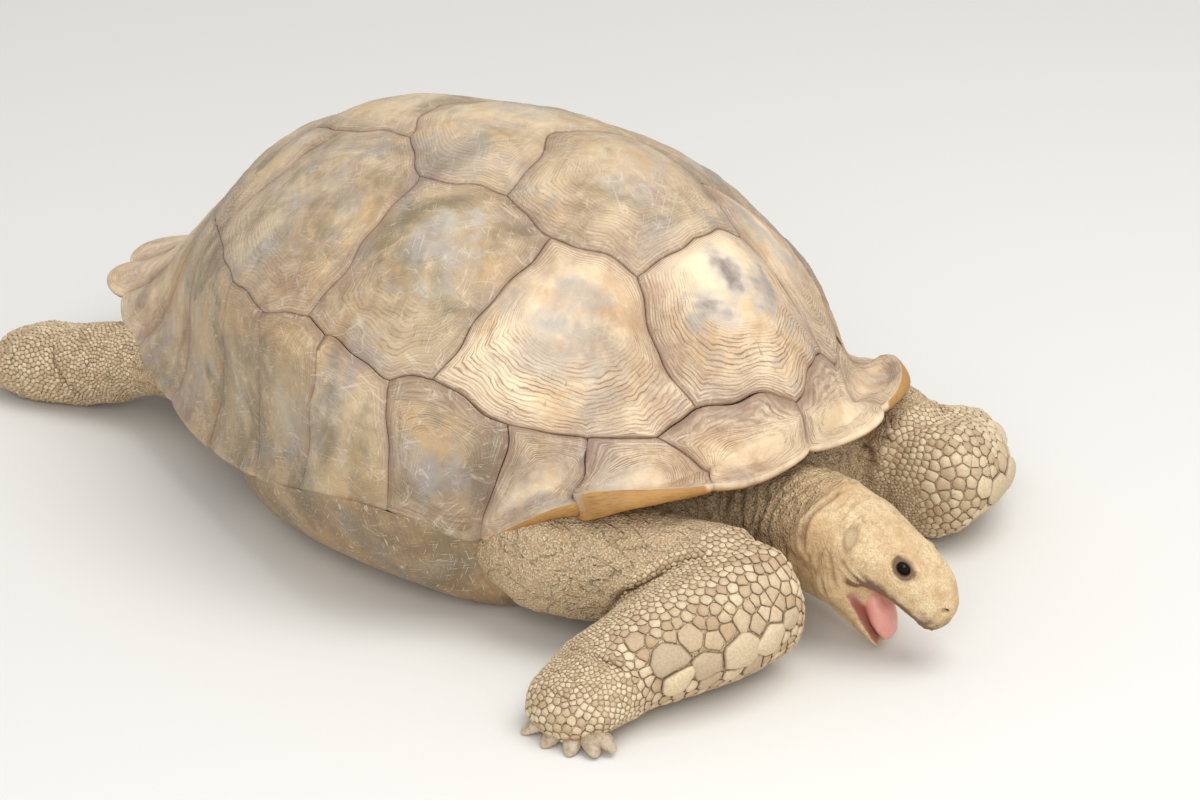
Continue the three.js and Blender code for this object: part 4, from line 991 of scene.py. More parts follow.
eyes = {"right": on_head(np.array(EYE_PLACE) * [1, -1, 1]), "left": on_head(EYE_PLACE)}
gaze = {"right": [0.18, -0.9, 0.38], "left": [0.18, 0.9, 0.38]}
gaze = {side: unit(on_head(way) - HEAD_AT) for side, way in gaze.items()}
split_faces(joined_mesh, lambda p: head_share(p) > 0.4)
wall = body_wall()
wall_piece = make_piece("body_wall", home + MM * wall[0], *wall[1:])
nostrils = [on_head(np.array(NOSTRIL) * [1, side, 1]) for side in (-1, 1)]


def near_openings(points):
    """Whether each point lies within 15.5 mm of an eye or 6.5 mm of a nostril."""
    from_eyes = [np.linalg.norm(points - eye, axis=1) for eye in eyes.values()]
    from_nostrils = [np.linalg.norm(points - place, axis=1) + 9 for place in nostrils]
    return np.min(from_eyes + from_nostrils, axis=0) < 15.5


split_faces(joined_mesh, near_openings, wall_piece.data)
bpy.data.objects.remove(wall_piece)
points = hide_points(joined_mesh)
head = head_share(points)
points = smoothed(points, edge_ends(joined_mesh), head[:, None], 4)
normal = put_points(joined_mesh, points)

# broad unevenness, then the creases, and rings of loose skin 11 mm apart round the neck
swell = 0.9 * ripple(points, 70, 3) + 0.45 * ripple(points, 26, 5)
pressed = sum(fold(points, *crease) for crease in folds)
swell = swell * (1 - 0.75 * head) + pressed
# crease: how deep a point lies in a fold, and below in a trough between the neck's rings; the hide's colour
# is darkened there as painted shade
crease = np.clip(-pressed / 2.2, 0, 1)
bent = points[:, 0] + 0.16 * points[:, 2] - 0.1 * np.abs(points[:, 1] + 10) + 7 * ripple(points, 60, 8)
necked = rising(points[:, 0], 150, 185) * (1 - head) * (np.abs(points[:, 1] + 10) < 62) * (points[:, 2] > 15)
neck_ring = np.abs(np.sin(np.pi * bent / 11))
swell = swell + 0.75 * necked * (neck_ring ** 0.6 - 0.6)
crease = np.maximum(crease, 0.4 * necked * (1 - rising(neck_ring, 0.05, 0.4)))

for side in (-1, 1):
    for centre, radius, height in HEAD_SWELLS:
        offset = (points - on_head(np.array(centre) * [1, side, 1])) @ HEAD_AXES.T
        swell = swell + height * np.exp(-((offset / radius) ** 2).sum(1))
points = points + normal * swell[:, None]

# the lids: the hide is raised over the eyeball along the line of sight and opens on it
lid = np.zeros(len(points))
wet_rim = np.zeros(len(points))
for side, centre in eyes.items():
    ahead = unit(HEAD_FORWARD - gaze[side] * (HEAD_FORWARD @ gaze[side]))
    over = np.cross(gaze[side], ahead)
    offset = points - centre
    out = offset @ gaze[side]
    flat_reach = np.hypot(offset @ ahead, offset @ over)
    rho = np.hypot(offset @ ahead / 1.12, offset @ over / 0.9)
    dome = np.sqrt(np.maximum(LID_RADIUS ** 2 - flat_reach ** 2, 0))
    dome = dome + 0.35 * np.cos(2 * np.pi * (rho - 6.6) / 3.2)
    out = out + 0.4 * np.cos(2 * np.pi * (rho - 6.4) / 3.0) * rising(rho, 5.5, 7) * (1 - rising(rho, 11, 15))
    raised = np.logaddexp(0.9 * out, 0.9 * dome) / 0.9
    sunk = np.sqrt(np.maximum(6.3 ** 2 - np.minimum(flat_reach, 5.5) ** 2, 0))
    lifted = sunk + (raised - sunk) * rising(rho, 3.9, 5.2)
    share = (1 - rising(flat_reach, 10.5, 15)) * (out > -6) * (np.linalg.norm(offset, axis=1) < 18)
    points = points + gaze[side] * ((lifted - offset @ gaze[side]) * share)[:, None]
    long_rho = np.hypot(offset @ ahead / 1.4, offset @ over / 0.95)
    lid = np.maximum(lid, np.exp(-(np.maximum(long_rho - 4.4, 0) / 3.2) ** 2) * (share > 0))
    wet_rim = np.maximum(wet_rim, (1 - rising(rho, 4.5, 5.7)) * (share > 0))
points[:, 2] = np.maximum(points[:, 2], 0.2)
normal = put_points(joined_mesh, points)

in_head = to_head(points)
folded = np.abs(in_head * [0, 1, 0]) + in_head * [1, 0, 1]
# the eardrum is an upright oval that leans with the jaw's hinge
leaning = np.array([[-0.625, 0.78, 0], [0, 0, 1], [0.78, 0.625, 0]])
upright, level, aside = ((folded - EARDRUM) @ leaning).T
drum = head * np.exp(-(upright / 8) ** 2 - (level / 4) ** 2 - (aside / 9) ** 2)
nostril = head * np.exp(-(((folded - NOSTRIL) / [2.6, 4, 1.5]) ** 2).sum(1))
# the neck is paler towards the head: partly its own paler skin, and partly painted light that brightens the
# neck where the shell shades it
by_neck = (np.abs(points[:, 1] + 10) < 58) * (points[:, 2] > 12)
pale = np.maximum(head, 0.8 * rising(points[:, 0], 165, 275) * by_neck)
upward = normal @ HEAD_UP
ahead = in_head[:, 0]
mouth = head * rising(ahead, 44, 52) * rising(-in_head[:, 2], 23, 27)
mouth = mouth * np.maximum(rising(-upward, 0.35, 0.8), rising(upward, 0.3, 0.7) * (in_head[:, 2] < -42))
mouth = mouth * (1 - rising(-in_head[:, 2], 70, 73))
# the upper lip's dark edge, where the cheek turns under, and the beak's browner front
lip = rising(ahead, 38, 50) * rising(-in_head[:, 2], 15, 27) * (in_head[:, 2] > -48)
lip = lip * np.exp(-((upward + 0.35) / 0.4) ** 2)
beak = 0.55 * rising(ahead, 76, 104) * rising(-in_head[:, 2], 4, 22) * (in_head[:, 2] > -48)
lip = head * np.maximum(lip, beak)
hide = placed("hide", joined_mesh)
give_values(joined_mesh, {
    "head": head, "crease": crease, "lid": lid, "wet": wet_rim, "lip": lip, "mouth": mouth, "drum": drum,
    "nostril": nostril, "pale": pale, "smooth": head * rising(ahead, 18, 50),
})
joined_mesh.polygons.foreach_set("use_smooth", np.ones(len(joined_mesh.polygons), dtype=bool))


def tortoise_hide():
    """Dry grained hide: pale horny grains 2 mm apart on the limbs and finer on the head, each catching
    the light, over darker skin between them, with painted shade darkening the wrinkles and the creases."""
    material, tree, shader, place, value = new_finish(
        "tortoise_hide_grained", "head", "crease", "lid", "wet", "lip", "mouth", "drum", "nostril",
        "pale", "smooth")
    broad = add(tree, "TexNoise", {"Vector": place, "Scale": 22.0, "Detail": 6.0, "Roughness": 0.66})
    fine = add(tree, "TexNoise", {"Vector": place, "Scale": 150.0, "Detail": 5.0, "Roughness": 0.68})
    coarse = add(tree, "TexVoronoi", {"Vector": place, "Scale": 470.0})
    small = add(tree, "TexVoronoi", {"Vector": place, "Scale": 760.0})
    limb_grain = add(tree, "MapRange", [coarse, 0.15, 0.68, 1.0, 0.0])
    head_grain = add(tree, "MapRange", [small, 0.1, 0.7, 1.0, 0.35])
    grain = add(tree, "Mix", {0: value["head"], 2: limb_grain, 3: head_grain})
    # wrinkles: thin lines where a noise crosses its middle value; they run round the neck, along the
    # limbs, and criss-cross finely everywhere
    wrinkles = []
    for scale, width in (((95, 24, 20), 0.034), ((26, 70, 62), 0.032), ((150, 120, 120), 0.05)):
        stretched = add(tree, "VectorMath", [place, scale], operation="MULTIPLY")
        drift = add(tree, "TexNoise", {"Vector": stretched, "Scale": 1.0, "Detail": 1.5})
        centred = add(tree, "Math", [drift, 0.5], operation="SUBTRACT")
        size = add(tree, "Math", [centred], operation="ABSOLUTE")
        wrinkles.append(add(tree, "MapRange", [size, 0.0, width, 1.0, 0.0], interpolation_type="SMOOTHSTEP"))
    long_line = add(tree, "Mix", {0: value["pale"], 2: wrinkles[1], 3: wrinkles[0]})
    long_kept = add(tree, "MapRange", [value["smooth"], 0.0, 1.0, 1.0, 0.0])
    long_part = add(tree, "Math", [long_line, long_kept], operation="MULTIPLY")
    fine_part = add(tree, "Math", [wrinkles[2], 0.38], operation="MULTIPLY")
    wrinkle = add(tree, "Math", [fine_part, long_part], operation="MAXIMUM")
    between = add(tree, "Mix", {0: broad, 6: "#a5865f", 7: "#cfb18a"}, **COLOUR)
    tops = add(tree, "Mix", {0: fine, 6: "#dcc19a", 7: "#f5e3c0"}, **COLOUR)
    limb = add(tree, "Mix", {0: grain, 6: between, 7: tops}, **COLOUR)
    face_tint = add(tree, "MapRange", [broad, 0.38, 0.6])
    face_top = add(tree, "Mix", {0: face_tint, 6: "#dab488", 7: "#f7e3b8"}, **COLOUR)
    stain = add(tree, "MapRange", [fine, 0.46, 0.66, 0.0, 0.62])
    stained = add(tree, "Mix", {0: stain, 6: face_top, 7: "#bb9260"}, **COLOUR)
    face = add(tree, "Mix", {0: grain, 6: "#c8a67a", 7: stained}, **COLOUR)
    # the face's colours over the head; over the neck the pale share is partly its own skin and partly painted
    # light
    tone = add(tree, "Mix", {0: value["pale"], 6: limb, 7: face}, **COLOUR)
    # darker places, each laid over the last: painted shade in the wrinkles and creases, the eardrum, lips,
    # lids and mouth, and painted shade in the nostrils' openings
    # painted shade: the wrinkles' lines are darkened in colour
    wrinkle_dark = add(tree, "MapRange", [value["head"], 0.0, 1.0, 0.4, 0.24])
    lined = add(tree, "Math", [wrinkle, wrinkle_dark], operation="MULTIPLY")
    # painted shade in the creases (held in worn below), deepest where a fold is pressed deepest and weaker on
    # the pale face and neck
    crease_most = add(tree, "MapRange", [value["pale"], 0.0, 1.0, 0.8, 0.42])
    worn = add(tree, "MapRange", [value["crease"], 0.0, 1.0, 0.0, crease_most])
    drum_ring = add(tree, "MapRange", [value["drum"], 0.08, 0.3, 0.0, 0.5])
    eardrum = add(tree, "MapRange", [value["drum"], 0.3, 0.65, 0.0, 0.6])
    lip_edge = add(tree, "Math", [value["lip"], fine], operation="MULTIPLY")
    lip_dark = add(tree, "MapRange", [lip_edge, 0.1, 0.36, 0.0, 0.9])
    lid_patch = add(tree, "Math", [fine, 0.9, value["lid"]], operation="MULTIPLY_ADD")
    lid_dark = add(tree, "MapRange", [lid_patch, 0.62, 1.2, 0.0, 0.9])
    # painted shade: the nostrils are coloured near black for the dark of their openings
    hole = add(tree, "MapRange", [value["nostril"], 0.25, 0.6])
    for much, colour in ((lined, "#765a3e"), (worn, "#664b34"), (drum_ring, "#8a6c4e"), (eardrum, "#c9b690"),
                         (lip_dark, "#6f5140"), (lid_dark, "#6a4c3a"), (value["wet"], "#3f2826"),
                         (value["mouth"], "#a8695a"), (hole, "#3a271d")):
        tone = add(tree, "Mix", {0: much, 6: tone, 7: colour}, **COLOUR)
    damp = add(tree, "Math", [value["wet"], value["mouth"]], operation="MAXIMUM")
    rough = add(tree, "MapRange", [damp, 0.0, 1.0, 0.8, 0.38])
    rise = add(tree, "MapRange", [value["head"], 0.0, 1.0, 0.0012, 0.0004])
    bump = add(tree, "Bump", {"Height": grain, "Strength": 1.0, "Distance": rise})
    crepe = add(tree, "Bump", {"Height": fine, "Strength": 0.8, "Distance": 0.0026, "Normal": bump})
    depth = add(tree, "MapRange", [value["head"], 0.0, 1.0, 0.0008, 0.0004])
    furrow = add(tree, "Bump", {"Height": wrinkle, "Strength": 0.8, "Distance": depth, "Normal": crepe},
                 invert=True)
    fill(tree, shader, {"Base Color": tone, "Roughness": rough, "IOR": 1.45, "Normal": furrow})
    return material


joined_mesh.materials.append(tortoise_hide())
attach(hide, "root")
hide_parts("trunk", "head", "lower_jaw", "neck", "tail",
            *[f"{part}_{side}" for side in ("right", "left")
              for part in ("upper_arm", "forearm", "forefoot", "thigh", "shank", "hind_foot")])

# ---------------------------------------------------------------- the scales of the limbs
# Separate horny scales set close in the hide of the forearms, hands and hind legs. They are beads
# near the folds and flat many-sided plates towards a forearm's front edge, where the largest stand
# proud like shields. Each grows from its own root and meets its neighbours in a narrow gap, its foot
# darkened there with painted shade.
# the largest scales of a forearm: place and size, in mm
SHIELDS = [
    [290, -223, 54, 29], [294, -217, 34, 27], [301, -193, 42, 25], [307, -165, 45, 36], [311, -137, 47, 30],
    [313, -116, 57, 23], [289, -200, 64, 19], [299, -186, 59, 15], [301, -174, 63, 14], [303, -161, 68, 16],
    [308, -150, 63, 17], [267, -232, 63, 18], [304, -190, 24, 20], [309, -150, 24, 20], [310, -170, 24, 18],
]
SCALE_GAP = 0.17                        # bare hide round each scale
LIMB_STEPS = 80
# a scale's rings: share of its outline, share of its height
BEAD = [(1.0, -0.5), (0.97, 0.45), (0.82, 0.9)]
SHIELD = [(1.0, -0.4), (0.985, 0.18), (0.94, 0.42), (0.85, 0.62), (0.72, 0.78), (0.55, 0.9), (0.36, 0.97),
          (0.16, 1.0)]


def on_hide(points):
    """The nearest place on the hide to each point, and the way out of the hide there: one shrink-wrap
    on the surface and one a millimetre above it."""
    mesh = bpy.data.meshes.new("probe")
    mesh.vertices.add(len(points))
    mesh.vertices.foreach_set("co", (home + MM * points).astype(np.float32).ravel())
    probe = placed("probe", mesh)
    wrap = probe.modifiers.new("wrap", "SHRINKWRAP")
    wrap.target = hide
    found = []
    for mode, offset in (("ON_SURFACE", 0.0), ("ABOVE_SURFACE", 1 * MM)):
        wrap.wrap_mode = mode
        wrap.offset = offset
        wrapped = probe.evaluated_get(bpy.context.evaluated_depsgraph_get()).to_mesh()
        found.append(hide_points(wrapped))
    bpy.data.objects.remove(probe)
    return found[0], unit(found[1] - found[0])


def along_limb(points, stations):
    """Where points lie on a limb: 0 to 1 along it, the angle round it, their distance from its line as
    a share of its section, and the limb's own direction there."""
    table = spline(stations, LIMB_STEPS)
    along = unit(np.gradient(table[:, :3], axis=0))
    side, up = cross_axes(along)
    i = ((points[:, None] - table[:, :3]) ** 2).sum(-1).argmin(1)
    offset = points - table[i, :3]
    a = (offset * side[i]).sum(-1) / table[i, 3]
    b = (offset * up[i]).sum(-1) / table[i, 4]
    beyond = (offset * along[i]).sum(-1) / (END_ROUNDING * table[i, 3])
    return i / (LIMB_STEPS - 1), np.arctan2(b, a), np.sqrt(a ** 2 + b ** 2 + beyond ** 2), along[i]


def spread(start, size_at, shields, seed):
    """Roots for scales: places pushed apart until they stand a scale's size from each other.

    Each round moves a pair closer than their mean size apart by a third of the shortfall; every
    fourth round lays them back on the hide. The shields stay where they are."""
    fixed = len(shields)
    roots = np.concatenate([shields[:, :3], start]) if fixed else start
    size = size_at(roots)
    if fixed:
        size[:fixed] = shields[:, 3]
        gap = np.linalg.norm(roots[:, None] - shields[:, :3], axis=-1)
        clear = (gap > 0.42 * (size[:, None] + shields[:, 3])).all(1)
        clear[:fixed] = True
        roots, size = roots[clear], size[clear]
    roots = roots + np.random.default_rng(seed).normal(0, 0.2, roots.shape)
    for k in range(24):
        away = (roots[:, None] - roots).astype(np.float32)
        gap = np.linalg.norm(away, axis=-1) + 1e-4
        push = np.clip(0.5 * (size[:, None] + size) * 1.04 - gap, 0, None) / gap
        move = 0.33 * np.einsum("ij,ijk->ik", push, away)
        move = move * np.minimum(1, 0.4 * size / np.maximum(np.linalg.norm(move, axis=1), 1e-6))[:, None]
        move[:fixed] = 0
        roots = roots + move
        if k % 4 == 3:
            roots, _ = on_hide(roots)
            size[fixed:] = size_at(roots)[fixed:]
    return roots, np.maximum(size, 2.5)


def scale_forms(roots, size, wanted, sides, profile, stations, height, tilt, seed):
    """Scales at the wanted roots as rings of many-sided outlines.

    The outline's radius at an angle is the least of share x distance / cos(angle between) over the
    nearest neighbours, so that two scales meet where their sizes divide the gap. Heights follow the
    profile, raised by the tilt towards the limb's end."""
    base, normal = on_hide(roots[wanted])
    own = size[wanted]
    along = along_limb(base, stations)[3]
    ahead = unit(along - normal * (along * normal).sum(-1, keepdims=True))
    across = np.cross(normal, ahead)
    offset = roots - base[:, None]
    gap = np.linalg.norm(offset, axis=-1)
    nearest = np.argpartition(gap + 1e3 * (gap < 0.6), 14, axis=1)[:, :14]
    rows = np.arange(len(base))[:, None]
    offset, gap = offset[rows, nearest], gap[rows, nearest]
    share = own[:, None] / (own[:, None] + size[nearest])
    heading = np.arctan2((offset * across[:, None]).sum(-1), (offset * ahead[:, None]).sum(-1))
    jitter = np.random.default_rng(seed).uniform(0, 2 * np.pi / sides, len(base))
    angle = jitter[:, None] + even_turns(sides)
    facing = np.cos(angle[:, :, None] - heading[:, None])
    limit = np.where(facing > 0.12, (share * gap)[:, None] / np.maximum(facing, 0.12), 99).min(-1)
    radius = np.minimum(limit, 0.7 * own[:, None]) - SCALE_GAP
    way = ahead[:, None] * np.cos(angle)[..., None] + across[:, None] * np.sin(angle)[..., None]
    rings = []
    tall = height * own * np.random.default_rng(seed + 1).uniform(0.8, 1.2, len(own))
    for shrink, lift in profile:
        foot, out = on_hide((base[:, None] + way * (radius * shrink)[..., None]).reshape(-1, 3))
        rise = lift * tall[:, None] * (1 + tilt * shrink * np.cos(angle) * (lift > 0))
        rings.append(foot.reshape(way.shape) + out.reshape(way.shape) * rise[..., None])
    top = base + normal * tall[:, None] * 1.02
    bottom = base - normal * 0.6
    # one scale's points: its rings, then the middle of its top and of its foot
    points = np.concatenate([np.stack(rings, 1).reshape(len(base), -1, 3), top[:, None], bottom[:, None]], 1)
    each = points.shape[1]
    k = np.arange(sides)
    j = (k + 1) % sides
    band = np.stack([k, j, j + sides, k + sides], -1)
    band = np.concatenate([band + ring * sides for ring in range(len(profile) - 1)])
    last = (len(profile) - 1) * sides
    caps = np.concatenate([np.stack([last + k, last + j, 0 * k + each - 2], -1),
                           np.stack([j, k, 0 * k + each - 1], -1)])
    start = (np.arange(len(base)) * each)[:, None, None]
    edge = np.repeat([1.0] + [share for share, _ in profile[1:]], sides)
    edge = np.concatenate([edge, [0.0, 1.0]])
    tone = np.random.default_rng(seed + 2).uniform(0, 1, len(base))
    spots = np.concatenate([np.tile(np.stack([np.cos(angle[0]), np.sin(angle[0])], -1), (len(profile), 1)),
                            [[0, 0], [0, 0]]]) * edge[:, None]
    return {
        "points": points.reshape(-1, 3), "quads": (band + start).reshape(-1, 4),
        "triangles": (caps + start).reshape(-1, 3), "rim": np.tile(edge, len(base)),
        "tone": np.repeat(tone, each), "size": np.repeat(own, each), "root": np.repeat(base, each, axis=0),
        "spot": np.tile(spots, (len(base), 1)),
    }


def dry_scale():
    """A tortoise's limb scale: dull opaque horn, tan to grey, flecked with dirt, and darkened at its foot
    in the gap round it with painted shade; the largest are smooth and greyer."""
    material, tree, shader, place, value = new_finish("limb_scale_horn_dry", "rim", "tone", "size")
    broad = add(tree, "TexNoise", {"Vector": place, "Scale": 16.0, "Detail": 4.0, "Roughness": 0.6})
    fine = add(tree, "TexNoise", {"Vector": place, "Scale": 520.0, "Detail": 4.0, "Roughness": 0.65})
    mixed = add(tree, "Math", [broad, value["tone"]], operation="ADD")
    spread_tone = add(tree, "MapRange", [mixed, 0.45, 1.5])
    tone = add(tree, "Mix", {0: spread_tone, 6: "#bb9e7a", 7: "#e6d1ae"}, **COLOUR)
    large = add(tree, "MapRange", [value["size"], 15.0, 30.0, 0.0, 0.6])
    greyish = add(tree, "Mix", {0: value["tone"], 6: "#a39288", 7: "#d9c39c"}, **COLOUR)
    dirty = add(tree, "MapRange", [fine, 0.4, 0.7, 0.0, 0.4])
    # painted shade: the foot of each scale, down in the gap beside its neighbours, is coloured dark
    gap = add(tree, "MapRange", [value["rim"], 0.9, 1.0, 0.0, 0.9])
    for much, colour in ((large, greyish), (dirty, "#93764f"), (gap, "#59432d")):
        tone = add(tree, "Mix", {0: much, 6: tone, 7: colour}, **COLOUR)
    bump = add(tree, "Bump", {"Height": fine, "Strength": 0.5, "Distance": 0.0007})
    fill(tree, shader, {"Base Color": tone, "Roughness": 0.66, "IOR": 1.5, "Normal": bump})
    return material


scale_horn = dry_scale()


def coat(name, stations, size_at, shields, height, tilt, seed):
    """One limb's scales in one mesh. Its baking map sets each scale as a patch 0.003 across where its
    root lies on the limb unrolled: the angle round it by the length along it."""
    hide_spots = hide_points(joined_mesh)
    wanted = size_at(hide_spots)
    chance = (VOXEL / MM) ** 2 / (0.75 * np.maximum(wanted, 1) ** 2)
    taken = (wanted > 0) & (np.random.default_rng(seed).uniform(0, 1, len(wanted)) < chance)
    roots, size = spread(hide_spots[taken], size_at, shields, seed)
    small = size < 13
    forms = [scale_forms(roots, size, small, 9, BEAD, stations, height, tilt, seed)]
    if (~small).any():
        forms.append(scale_forms(roots, size, ~small, 26, SHIELD, stations, 0.15, 0.25, seed + 5))
    shift = np.cumsum([0] + [len(form["points"]) for form in forms])
    whole = {key: np.concatenate([form[key] for form in forms])
             for key in ("points", "rim", "tone", "size", "root", "spot")}
    quads = np.concatenate([form["quads"] + k for form, k in zip(forms, shift)])
    triangles = np.concatenate([form["triangles"] + k for form, k in zip(forms, shift)])
    points = whole["points"]
    points[:, 2] = np.maximum(points[:, 2], 0.1)
    values = {key: whole[key] for key in ("rim", "tone", "size")}
    piece = make_piece(name, home + MM * points, quads, triangles, values)
    length, angle, _, _ = along_limb(whole["root"], stations)
    patch = 0.01 + 0.98 * np.stack([angle / (2 * np.pi) + 0.5, length], -1) + 0.0015 * whole["spot"]
    layer = piece.data.uv_layers.new(name="OFBake")
    corners = np.concatenate([quads.ravel(), triangles.ravel()])
    layer.data.foreach_set("uv", patch[corners].astype(np.float32).ravel())
    piece.data.materials.append(scale_horn)
    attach(piece, "root")


def forearm_sizes(side):
    """Scale sizes over a forearm and hand: 4 mm behind and above, to 12 mm towards the front edge and
    the elbow, small again at the wrist and 8 mm at the hand's edge; 0 off the limb."""
    def sizes(points):
        length, angle, share, _ = along_limb(points, FOREARM[side])
        front = np.cos(angle) * (1 if side == "right" else -1)
        above = np.sin(angle)
        arm = 4.0 + 7.5 * rising(front, -0.45, 0.95)
        arm = arm + 3.0 * rising(0.25 - length, 0.0, 0.25) * rising(above, -0.2, 0.5)
        hand = 4.2 + 3.8 * rising(length, 0.74, 0.98) + 1.0 * front
        whole = arm + (hand - arm) * rising(length, 0.52, 0.68)
        beyond = along_limb(points, UPPER_ARM[side])[2] < 0.93
        whole = whole * (1.03 if side == "right" else 0.93)
        return np.where((share > 0.7) & (share < 1.3) & ~beyond, whole, 0)
    return sizes


def hind_sizes(side):
    """Scale sizes over a hind leg: 4.6 mm above the shank, 5.5 mm on it and 8 mm round the foot's edge."""
    stations = sided(HIND_LEG, side)

    def sizes(points):
        length, _, share, _ = along_limb(points, stations)
        whole = 4.4 + 1.2 * rising(length, 0.4, 0.7) + 2.4 * rising(length, 0.82, 1.0)
        return np.where((share > 0.8) & (share < 1.25) & (length > 0.3) & (points[:, 0] < -250), whole, 0)
    return sizes


shields = np.array(SHIELDS, dtype=float)
left_shields = np.concatenate([carried(shields[:, :3], FOREARM["right"], FOREARM["left"]), shields[:, 3:]], 1)
left_shields[:, :3], _ = on_hide(left_shields[:, :3])
shields[:, :3], _ = on_hide(shields[:, :3])
coat("forearm_scales_right", FOREARM["right"], forearm_sizes("right"), shields, 0.15, 0.15, 1)
coat("forearm_scales_left", FOREARM["left"], forearm_sizes("left"), left_shields, 0.15, 0.15, 2)
for side, seed in (("right", 3), ("left", 4)):
    coat(f"hind_leg_scales_{side}", sided(HIND_LEG, side), hind_sizes(side), np.zeros((0, 4)), 0.26, 0.5,
         seed)

# ---------------------------------------------------------------- claws and spurs
# Blunt nails of grey-tan horn, five on each forefoot and four on each hind foot, worn by digging,
# and three horny spurs behind each thigh. They stand in the hide by half their length.
FORE_CLAW_TURN = [-24, 6, 34, 62, 88]   # degrees round the front of the hand
HIND_CLAWS = [-1.4, -0.45, 0.5, 1.4]    # places across the hind foot
THIGH_SPURS = [[-318, 12], [-334, 4], [-349, 14]]


def horn_cone(root, way, size, length, droop):
    """A blunt curved horn: rounded sections along root + way x t, drooping as t squared, narrowing as
    a quarter circle to its tip, with faint ring ridges."""
    t = np.linspace(-0.5, 0.97, 18)[:, None]
    way = unit(np.asarray(way, dtype=float))
    side, up = cross_axes(way)
    line = root + way * t * length - np.array([0.0, 0.0, droop]) * np.maximum(t, 0) ** 2
    narrow = np.sqrt(1 - (np.maximum(t + 0.1, 0) / 1.1) ** 2.2) * (1 + 0.02 * np.sin(t * 34))
    turn = even_turns(20)
    flat = np.where(np.sin(turn) < 0, 0.55, 0.85)
    rows = line[:, None] + side * (size * narrow * np.cos(turn))[..., None]
    rows = rows + up * (size * narrow * flat * np.sin(turn))[..., None]
    tip = root + way * length - np.array([0.0, 0.0, droop])
    return closed_grid(rows, rows[0].mean(0), tip)


def claw_horn():
    """Claw keratin: greyish tan, streaked lengthwise with brown, dull and scuffed by soil."""
    material, tree, shader, place, _ = new_finish("claw_horn_worn")
    streaks = add(tree, "TexNoise", {"Vector": place, "Scale": 260.0, "Detail": 4.0, "Roughness": 0.6})
    broad = add(tree, "TexNoise", {"Vector": place, "Scale": 60.0, "Detail": 3.0})
    base = add(tree, "Mix", {0: broad, 6: "#9c8568", 7: "#dccab0"}, **COLOUR)
    soil = add(tree, "MapRange", [streaks, 0.45, 0.7, 0.0, 0.6])
    tone = add(tree, "Mix", {0: soil, 6: base, 7: "#6d553c"}, **COLOUR)
    bump = add(tree, "Bump", {"Height": streaks, "Strength": 0.5, "Distance": 0.0006})
    fill(tree, shader, {"Base Color": tone, "Roughness": 0.5, "IOR": HORN_IOR, "Normal": bump})
    return material


nail = claw_horn()
for side, hand in (("right", -1), ("left", 1)):
    stations = np.array(FOREARM[side])
    tip = stations[5]
    way = unit(stations[6, :3] - stations[3, :3])
    front = unit(np.cross(way, [0, 0, hand]))
    horns = []
    for degrees in FORE_CLAW_TURN:
        a, b = np.cos(np.radians(degrees)), np.sin(np.radians(degrees))
        root = np.array([tip[0], tip[1], 10]) + way * 12 * a + front * 29 * b
        fan = way * a + front * b
        horns.append(horn_cone(root, [fan[0], fan[1], -0.12], 7.5, 19, 3))
    drawn_up = np.array(FAR_LEG_DRAWN_UP[:3]) * (side == "left")
    for k in HIND_CLAWS:
        root = np.array([-507 + 4 * k * k, hand * (140 + k * 13), 12]) + drawn_up
        horns.append(horn_cone(root, [-1, hand * (0.12 + 0.25 * k), -0.1], 7, 24, 2.5))
    for x, high in THIGH_SPURS:
        root = np.array([x, hand * 80, 50 + high]) + drawn_up
        horns.append(horn_cone(root, [-0.75, -0.6 * hand, 0], 7, 20, 2))
    points, quads, triangles = joined(horns)
    points[:, 2] = np.maximum(points[:, 2], 0)
    claws = make_piece(f"claws_and_spurs_{side}", home + MM * points, quads, triangles)
    claws.data.materials.append(nail)
    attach(claws, "root")

# ---------------------------------------------------------------- eyes and tongue
# Two dark wet eyeballs held in the lids, and a thick fleshy tongue pushed forward in the open mouth.
# forward, middle, half width, half height
TONGUE = [[52, -49.5, 7, 6], [62, -52, 10, 8.5], [73, -55.5, 12.5, 10], [83, -59, 12, 9.5],
          [90, -62.5, 8, 6.5]]


def eyeball(name, centre, sight):
    """A sphere whose rings run round the line of sight; depth is each ring's angle from it."""
    angle = np.linspace(0, np.pi, 34)[1:-1]
    turn = even_turns(40)
    side, up = cross_axes(sight)
    round_it = side * np.cos(turn)[:, None] + up * np.sin(turn)[:, None]
    out = sight * np.cos(angle)[:, None, None] + round_it * np.sin(angle)[:, None, None]
    rows = home + MM * (centre + EYE_RADIUS * out)
    first, last = (home + MM * (centre + EYE_RADIUS * way) for way in (sight, -sight))
    return make_piece(name, *closed_grid(rows, first, last), {"depth": [*np.repeat(angle, 40), 0, np.pi]})


def wet_eye():
    """Cornea over a dark iris: near black at the pupil, deep brown round it, with a wet mirror gloss."""
    material, tree, shader, place, value = new_finish("eye_wet_dark", "depth")
    fleck = add(tree, "TexNoise", {"Vector": place, "Scale": 900.0, "Detail": 3.0})
    ring = add(tree, "MapRange", [value["depth"], 0.3, 0.38])
    iris = add(tree, "Mix", {0: fleck, 6: "#120a08", 7: "#2c1a13"}, **COLOUR)
    pupil = add(tree, "Mix", {0: ring, 6: "#080607", 7: iris}, **COLOUR)
    white = add(tree, "MapRange", [value["depth"], 0.62, 0.78])
    tone = add(tree, "Mix", {0: white, 6: pupil, 7: "#4a2c2a"}, **COLOUR)
    fill(tree, shader, {"Base Color": tone, "Roughness": 0.06, "IOR": 1.36, "Specular IOR Level": 0.3})
    return material


